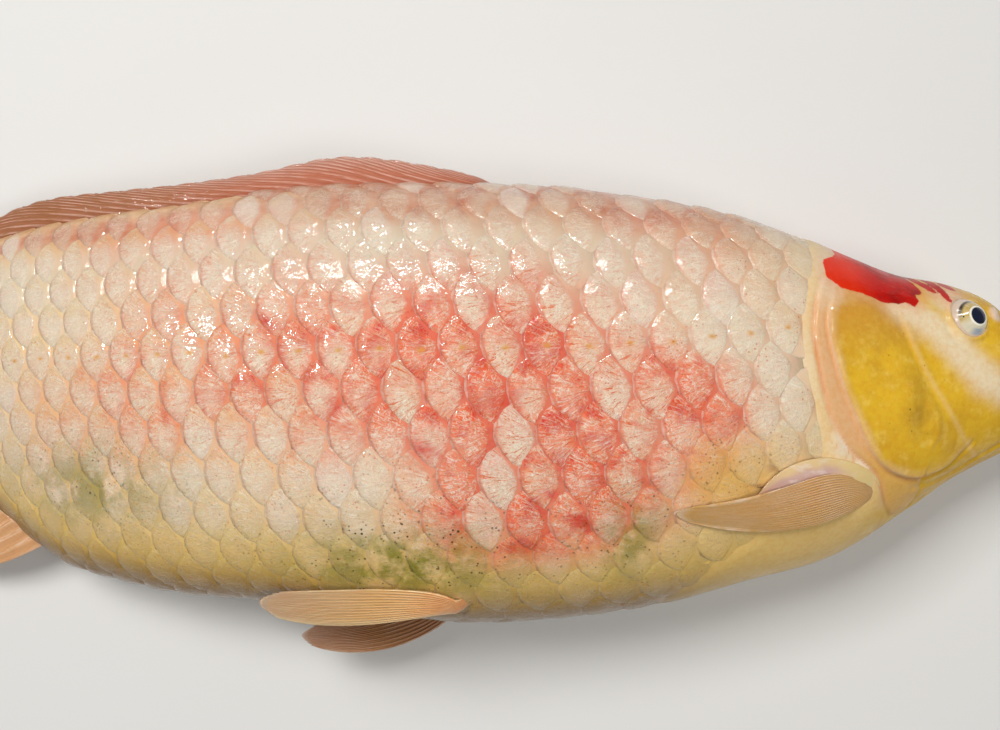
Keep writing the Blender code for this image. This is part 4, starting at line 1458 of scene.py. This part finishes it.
# thicknesses in mm; what "plainFin" says holds for a fin unless its own lines say otherwise
plainFin = {"slant": 0.0, "ragged": 0.02, "round": 0.0, "groove": 0.12, "flesh": 0.0, "under": 0.0,
            "bare": None, "steps": 18}
fins = {
    "pectoral": {"rays": 19, "grid": (26, 77), "root": 3.0, "tip": 0.7, "rayRoot": 0.42, "rayTip": 0.24,
                 "fork": 0.28, "seed": 3, "groove": 0.06, "round": 0.05, "under": 0.14, "bare": 0.26},
    "pelvic": {"rays": 13, "grid": (26, 53), "root": 2.8, "tip": 0.7, "rayRoot": 0.42, "rayTip": 0.2,
               "fork": 0.28, "seed": 4, "round": 0.08, "under": 0.14, "bare": 0.08},
    "dorsal": {"rays": 22, "grid": (10, 221), "root": 2.6, "tip": 0.9, "rayRoot": 0.48, "rayTip": 0.2,
               "fork": 0.3, "seed": 5, "slant": 0.22, "ragged": 0.05, "steps": 14},
    "caudal": {"rays": 10, "grid": (34, 41), "root": 4.0, "tip": 0.8, "rayRoot": 1.1, "rayTip": 0.3,
               "fork": 0.27, "seed": 6, "ragged": 0.025, "steps": 24, "round": 0.1, "flesh": 16.5,
               "bare": 0.16},
    "anal": {"rays": 8, "grid": (22, 33), "root": 2.0, "tip": 0.8, "rayRoot": 0.75, "rayTip": 0.3,
             "fork": 0.25, "seed": 7, "ragged": 0.03, "round": 0.07},
    "foot": {"rays": 1, "grid": (34, 21), "root": 3.4, "tip": 1.8, "ragged": 0.0, "groove": 0.0,
             "under": 0.1},
}
fins = {kind: {**plainFin, **fin} for kind, fin in fins.items()}


# colours from root to tip, then of the grooves, the lit rays and the trailing part
tintNames = ("root", "middle", "tip", "groove", "ray", "trail")
finTints = {
    "pectoral": [(0.70, 0.41, 0.16), (0.68, 0.36, 0.12), (0.68, 0.35, 0.07), (0.50, 0.25, 0.10),
                 (0.78, 0.58, 0.42), (0.66, 0.36, 0.10)],
    # the right pelvic fin's pale cream trailing tint, along its lower edge, is a painted highlight
    "pelvic": [(0.84, 0.34, 0.12), (0.80, 0.45, 0.17), (0.74, 0.44, 0.25), (0.60, 0.24, 0.08),
               (0.88, 0.66, 0.38), (0.88, 0.66, 0.36)],
    # the left pelvic fin: the right one's tints darkened as painted shade, since it lies in the body's shade
    "pelvicLeft": [(0.44, 0.17, 0.07), (0.42, 0.20, 0.08), (0.50, 0.30, 0.20), (0.28, 0.10, 0.04),
                   (0.62, 0.42, 0.30), (0.44, 0.22, 0.10)],
    "dorsal": [(0.48, 0.12, 0.05), (0.47, 0.155, 0.085), (0.53, 0.29, 0.22), (0.34, 0.09, 0.035),
               (0.68, 0.40, 0.32), (0.30, 0.13, 0.045)],
    "caudal": [(0.76, 0.42, 0.22), (0.72, 0.36, 0.17), (0.66, 0.35, 0.18), (0.52, 0.24, 0.10),
               (0.82, 0.56, 0.38), (0.74, 0.42, 0.24)],
    "anal": [(0.64, 0.34, 0.15), (0.62, 0.32, 0.14), (0.56, 0.30, 0.15), (0.46, 0.22, 0.10),
             (0.78, 0.54, 0.38), (0.66, 0.42, 0.24)],
}
# where the trailing part begins, and how strong the grooves and the rays at the root are
trailFrom = {"pectoral": 0.5, "pelvic": 0.75, "pelvicLeft": 0.75, "dorsal": 0.38, "caudal": 0.8,
             "anal": 0.8}
grooveDepth = {"pectoral": 0.28}
rootRays = {"pectoral": 0.2}


def finMaterial(kind):
    tint = dict(zip(tintNames, finTints[kind]))
    material, w, shader = newMaterial(kind + "FinSkin")
    places = w.places()
    along = w.attribute("alongRay")
    across = w.attribute("acrossRays")
    base = w.attribute("alongBase")
    # each ray forks half way along
    halves = w.ramp(along, 0.3, 0.7)
    single = w.math("COSINE", across * (2 * math.pi))
    double = w.math("COSINE", across * (4 * math.pi))
    forked = single * (1.0 - halves) + double * halves
    streaks = w.noise(w.join(across * 2.2, along * 2.0), 3.0, 3, 0.65)
    cloud = w.noise(places, 60, 4, 0.6)
    groove = w.ramp(forked, 0.2, -0.9, 0.0, grooveDepth.get(kind, 0.5)) * w.ramp(cloud, 0.35, 0.65, 0.4, 1.0)
    clear = w.ramp(along, 0.04, 0.3, rootRays.get(kind, 1.0), 1.0)
    lit = w.ramp(forked, 0.2, 0.9, 0.1, 0.8) * clear * w.ramp(streaks + cloud * 0.6, 0.62, 0.9)
    colour = w.layers(tint["root"], [
        (w.ramp(along, 0.0, 0.45), tint["middle"]),
        (w.ramp(along, 0.5, 1.0), tint["tip"]),
        (w.ramp(base, trailFrom[kind], trailFrom[kind] + 0.3) * 0.8, tint["trail"]),
        (groove, tint["groove"]),
        (lit, tint["ray"]),
        (w.ramp(streaks, 0.46, 0.32, 0.0, 0.4), tint["groove"]),
        (w.ramp(along, 0.965, 0.995, 0.0, 0.3), (0.84, 0.74, 0.66)),
    ])
    height = streaks + forked * 0.4 + w.math("SINE", along * 190.0) * 0.05     # with the joints of the rays
    setShader(w, shader, {
        **finFlesh,
        "Base Color": colour,
        "Normal": w.bump(height, 0.0006, 0.6),
        "Coat Normal": ripples(w, places, 200),
        "Roughness": 0.42,
        "Coat Weight": 0.45,
        "Coat Roughness": 0.1,
    })
    return material


def footMaterial():
    material, w, shader = newMaterial("finFootSkin")
    places = w.places()
    along = w.attribute("alongRay")
    base = w.attribute("alongBase")
    across = base + w.noise(places, 90, 4, 0.6) * 0.3
    streaks = w.noise(w.scaled(places, (0.3, 1, 1)), 300, 3)
    threads = w.ramp(streaks, 0.52, 0.66) * w.ramp(along, 0.2, 0.5, 0.1, 0.45)
    colour = w.layers((0.72, 0.52, 0.27), [
        (w.ramp(across, 0.25, 0.5), (0.58, 0.38, 0.33)),
        (w.ramp(across, 0.6, 0.95), (0.68, 0.38, 0.17)),
        (w.ramp(along, 0.5, 0.2), (0.74, 0.56, 0.25)),
        # painted shade: darker towards the lobe's far end, in the shadow of the axil
        (w.ramp(along, 0.7, 1.0, 0.0, 0.7), (0.46, 0.26, 0.18)),
        (threads, (0.78, 0.68, 0.62)),
    ])
    setShader(w, shader, {
        **finFlesh,
        "Base Color": colour,
        "Normal": w.bump(w.noise(w.scaled(places, (0.4, 1, 1)), 260, 3), 0.0006, 0.5),
        "Coat Normal": ripples(w, places, 120),
        "Roughness": 0.4,
        "Coat Weight": 0.6,
        "Coat Roughness": 0.06,
    })
    return material


def makeFins():
    group = rayGroup()
    looks = {kind: finMaterial(kind) for kind in finTints}
    plan = [
        ("pectoral", "Right", pectoralPlace(1), "pectoral_fin_right"),
        ("pectoral", "Left", pectoralPlace(-1), "pectoral_fin_left"),
        ("pelvic", "Right", pelvicPlace(1), "pelvic_fin_right"),
        ("pelvic", "Left", pelvicPlace(-1), "pelvic_fin_left"),
        ("dorsal", "", dorsalPlace, "dorsal_fin"),
        ("caudal", "Upper", caudalPlace(1), "caudal_fin_upper"),
        ("caudal", "Lower", caudalPlace(-1), "caudal_fin_lower"),
        ("anal", "", analPlace, "anal_fin"),
    ]
    for kind, word, place, node in plan:
        look = looks.get(kind + word, looks[kind])
        sheet = finSheet(kind + "Fin" + word, place, fins[kind], look)
        dress(sheet, "fin", node)
        dress(addRays(kind + "Rays" + word, place, fins[kind], group, look), "fin")
    footSkin = footMaterial()
    for side, word in ((1, "Right"), (-1, "Left")):
        dress(finSheet("finFoot" + word, footPlace(side), fins["foot"], footSkin), "fin")


# eyes and barbels
eyeball = {"around": 72, "rings": 60, "ahead": 22.0, "up": 18.0, "cornea": 0.8, "corneaReach": 34}


def makeEye(side, material):
    centre = eyeCentre(side)
    ahead = Vector((1, 0, 0))
    slopes = [math.tan(math.radians(eyeball[way])) for way in ("ahead", "up")]
    axis = Vector((*slopes, side)).normalized()
    first = (ahead - axis * ahead.dot(axis)).normalized()
    second = axis.cross(first)
    rings, around = eyeball["rings"], eyeball["around"]
    fromAxis = np.linspace(0, math.pi, rings + 1)[1:-1]
    turn = np.linspace(0, 2 * math.pi, around, endpoint=False)
    a, t = np.meshgrid(fromAxis, turn, indexing="ij")
    a = np.concatenate([a.ravel(), [0, math.pi]])     # the two poles come last
    t = np.concatenate([t.ravel(), [0, 0]])
    dome = np.exp(-((np.degrees(a) / eyeball["corneaReach"]) ** 4))
    radius = (eye["radius"] + eyeball["cornea"] * dome) * mm
    outward = np.cos(a)[:, None] * np.array(axis)
    outward = outward + (np.sin(a) * np.cos(t))[:, None] * np.array(first)
    outward = outward + (np.sin(a) * np.sin(t))[:, None] * np.array(second)
    verts = np.array(centre) + radius[:, None] * outward
    verts[:, 2] = np.maximum(verts[:, 2], 0.0003)
    mesh = meshFrom("eyeball", verts, tubeFaces(rings - 1, around))
    turnOutward(mesh)
    upward = np.sin(t) * (1 if second.y > 0 else -1)
    addValues(mesh, {"fromAxis": np.degrees(a), "frontward": np.cos(t), "upward": upward})
    word = "right" if side > 0 else "left"
    dress(addObject("eye" + word.title(), mesh, material), "eye", "eye_" + word)


def eyeMaterial():
    # "away" counts degrees from the middle of the pupil
    material, w, shader = newMaterial("eyeLook")
    away = w.attribute("fromAxis")
    frontward = w.attribute("frontward")
    upward = w.attribute("upward")
    threads = w.noise(w.join(frontward * 6.0, upward * 6.0, away * 0.02), 3.0, 3, 0.6)
    lean = upward * 0.8 - frontward * 0.6
    low = w.ramp(upward * -0.95 + frontward * 0.1, 0.8, 0.97) * w.ramp(away, 28.0, 34.0, 0.0, 0.75)
    # painted shadow of the upper lid: a dark crescent at the top of the iris
    lidShadow = w.ramp(away, 36.0, 43.0) * w.ramp(lean, 0.2, 0.95)
    dot = ((away - 37.0) / 2.6) ** 2.0 + ((upward + 0.1) / 0.07) ** 2.0
    dot = w.ramp(dot, 1.0, 0.5) * w.ramp(frontward, 0.0, -0.2)
    colour = w.layers((0.66, 0.61, 0.46), [
        (w.ramp(lean, -0.1, 0.6), (0.50, 0.32, 0.045)),
        (w.ramp(threads, 0.4, 0.7) * 0.5, (0.82, 0.74, 0.54)),
        (low, (0.24, 0.34, 0.50)),
        (w.ramp(abs(away - 22.0), 3.0, 1.6), (0.86, 0.83, 0.70)),
        (lidShadow, (0.05, 0.032, 0.012)),
        (w.ramp(away, 46.0, 50.0), (0.64, 0.51, 0.40)),
        (dot, (0.02, 0.015, 0.01)),
        (w.ramp(away, 20.2, 19.2), (0.004, 0.008, 0.03)),
    ])
    setShader(w, shader, {"Base Color": colour, "Roughness": 0.25, "Coat Weight": 1.0,
                          "Coat Roughness": 0.03})
    return material


barbels = {"front": (7, 3, 9), "rear": (17, -6, 19), "root": 1.35, "tip": 0.5, "rings": 22, "around": 14}


def makeBarbel(place, side, word, material):
    distance, height, length = barbels[place]
    around = barbels["around"]
    t = np.linspace(-0.12, 1, barbels["rings"])
    s = distance + 0.75 * length * t
    angle = side * angleOf(s, height - 0.6 * length * t)
    lift = np.where(t < 0, 1.8 + 10 * t, 1.8 + 0.3 * length * t)
    middle = bodyPoints(s, angle, lift, 0.8)
    along = np.gradient(middle, axis=0)
    along /= np.linalg.norm(along, axis=1, keepdims=True)
    away = np.cross(along, [0, 0, 1.0])
    away /= np.linalg.norm(away, axis=1, keepdims=True)
    third = np.cross(along, away)
    radius = barbels["root"] + (barbels["tip"] - barbels["root"]) * np.clip(t, 0, 1)
    radius *= np.sqrt(np.clip((1.02 - t) / 0.05, 0.1, 1))
    turn = np.linspace(0, 2 * math.pi, around, endpoint=False)
    ring = np.cos(turn)[None, :, None] * away[:, None] + np.sin(turn)[None, :, None] * third[:, None]
    verts = (middle[:, None] + ring * radius[:, None, None] * mm).reshape(-1, 3)
    verts[:, 2] = np.maximum(verts[:, 2], 0.0002)
    faces = gridFaces(len(t), around, True).tolist()
    faces += [list(range(around))[::-1], [(len(t) - 1) * around + i for i in range(around)]]
    mesh = meshFrom("barbel", verts, faces)
    turnOutward(mesh)
    piece = addObject("barbel" + place.title() + word.title(), mesh, material)
    dress(piece, "barbel", "barbel_" + place + "_" + word)


def makeBarbels(material):
    for side, word in ((1, "right"), (-1, "left")):
        for place in ("front", "rear"):
            makeBarbel(place, side, word, material)


def barbelMaterial():
    material, w, shader = newMaterial("barbelLook")
    colour = w.mix(w.noise(w.places(), 200, 3), (0.74, 0.44, 0.22), (0.80, 0.56, 0.36))
    setShader(w, shader, {"Base Color": colour, "Roughness": 0.4, "Coat Weight": 0.5,
                          "Coat Roughness": 0.12})
    return material


# camera, light and floor
view = {"behindSnout": 262.8, "height": 16.0, "aboveFloor": 604.0, "width": 457.0, "distance": 550.0}


def makeCamera():
    lens = bpy.data.cameras.new("camera")
    camera = bpy.data.objects.new("camera", lens)
    bpy.context.collection.objects.link(camera)
    place = (snoutX / mm - view["behindSnout"], spineY / mm + view["height"], view["aboveFloor"])
    camera.location = Vector(place) * mm
    lens.angle = 2 * math.atan(view["width"] / 2 / view["distance"])
    bpy.context.scene.camera = camera


# soft lamps that only light, and small ones that only glint on the wet coat
lamps = {
    "key": {"place": (-0.42, 0.62, 1.45), "size": 0.6, "power": 20.4, "tint": (1.0, 0.98, 0.95)},
    "fill": {"place": (0.62, -0.18, 1.5), "size": 0.7, "power": 9.0, "tint": (1.0, 0.99, 0.97)},
    "spark": {"place": (-0.2, 1.05, 1.02), "size": 0.9, "short": 0.06, "power": 11.0},
    "sparkRear": {"place": (-0.85, 0.5, 1.2), "size": 0.12, "power": 5.0},
    "sparkLow": {"place": (-0.2, 1.15, 0.42), "size": 0.06, "power": 2.4},
}


def makeLights():
    for name, lamp in lamps.items():
        light = bpy.data.lights.new(name, "AREA")
        light.energy = lamp["power"]
        light.shape = "RECTANGLE"
        light.size = lamp["size"]
        light.size_y = lamp.get("short", lamp["size"])
        light.color = lamp.get("tint", (1.0, 1.0, 1.0))
        item = bpy.data.objects.new(name, light)
        item.location = lamp["place"]
        item.visible_glossy = name.startswith("spark")
        item.visible_diffuse = not item.visible_glossy
        item.rotation_euler = (-Vector(lamp["place"])).to_track_quat("-Z", "Y").to_euler()
        bpy.context.collection.objects.link(item)
    world = bpy.data.worlds.new("studio")
    bpy.context.scene.world = world
    world.use_nodes = True
    back = world.node_tree.nodes["Background"]
    back.inputs[0].default_value = (1.0, 0.97, 0.94, 1)
    back.inputs[1].default_value = 0.11


def makeFloor():
    size = 3.0
    points = [(-size, -size, 0), (size, -size, 0), (size, size, 0), (-size, size, 0)]
    material, w, shader = newMaterial("paleFloor")
    colour = w.mix(w.noise(w.places(), 3, 2), (0.72, 0.72, 0.71), (0.76, 0.76, 0.75))
    setShader(w, shader, {"Base Color": colour, "Roughness": 0.8})
    addObject("floor", meshFrom("floor", points, [(0, 1, 2, 3)]), material)


def main():
    makeCamera()
    makeLights()
    makeFloor()
    bpy.context.scene.view_settings.view_transform = "Standard"
    print("stage: camera, light and floor")
    makeSkin(skinMaterial())
    print("skin made")
    makeScales(scaleMaterial())
    print("scales made")
    makeFins()
    print("fins made")
    eyeLook = eyeMaterial()
    makeEye(1, eyeLook)
    makeEye(-1, eyeLook)
    makeBarbels(barbelMaterial())
    print("eyes and barbels made")


main()
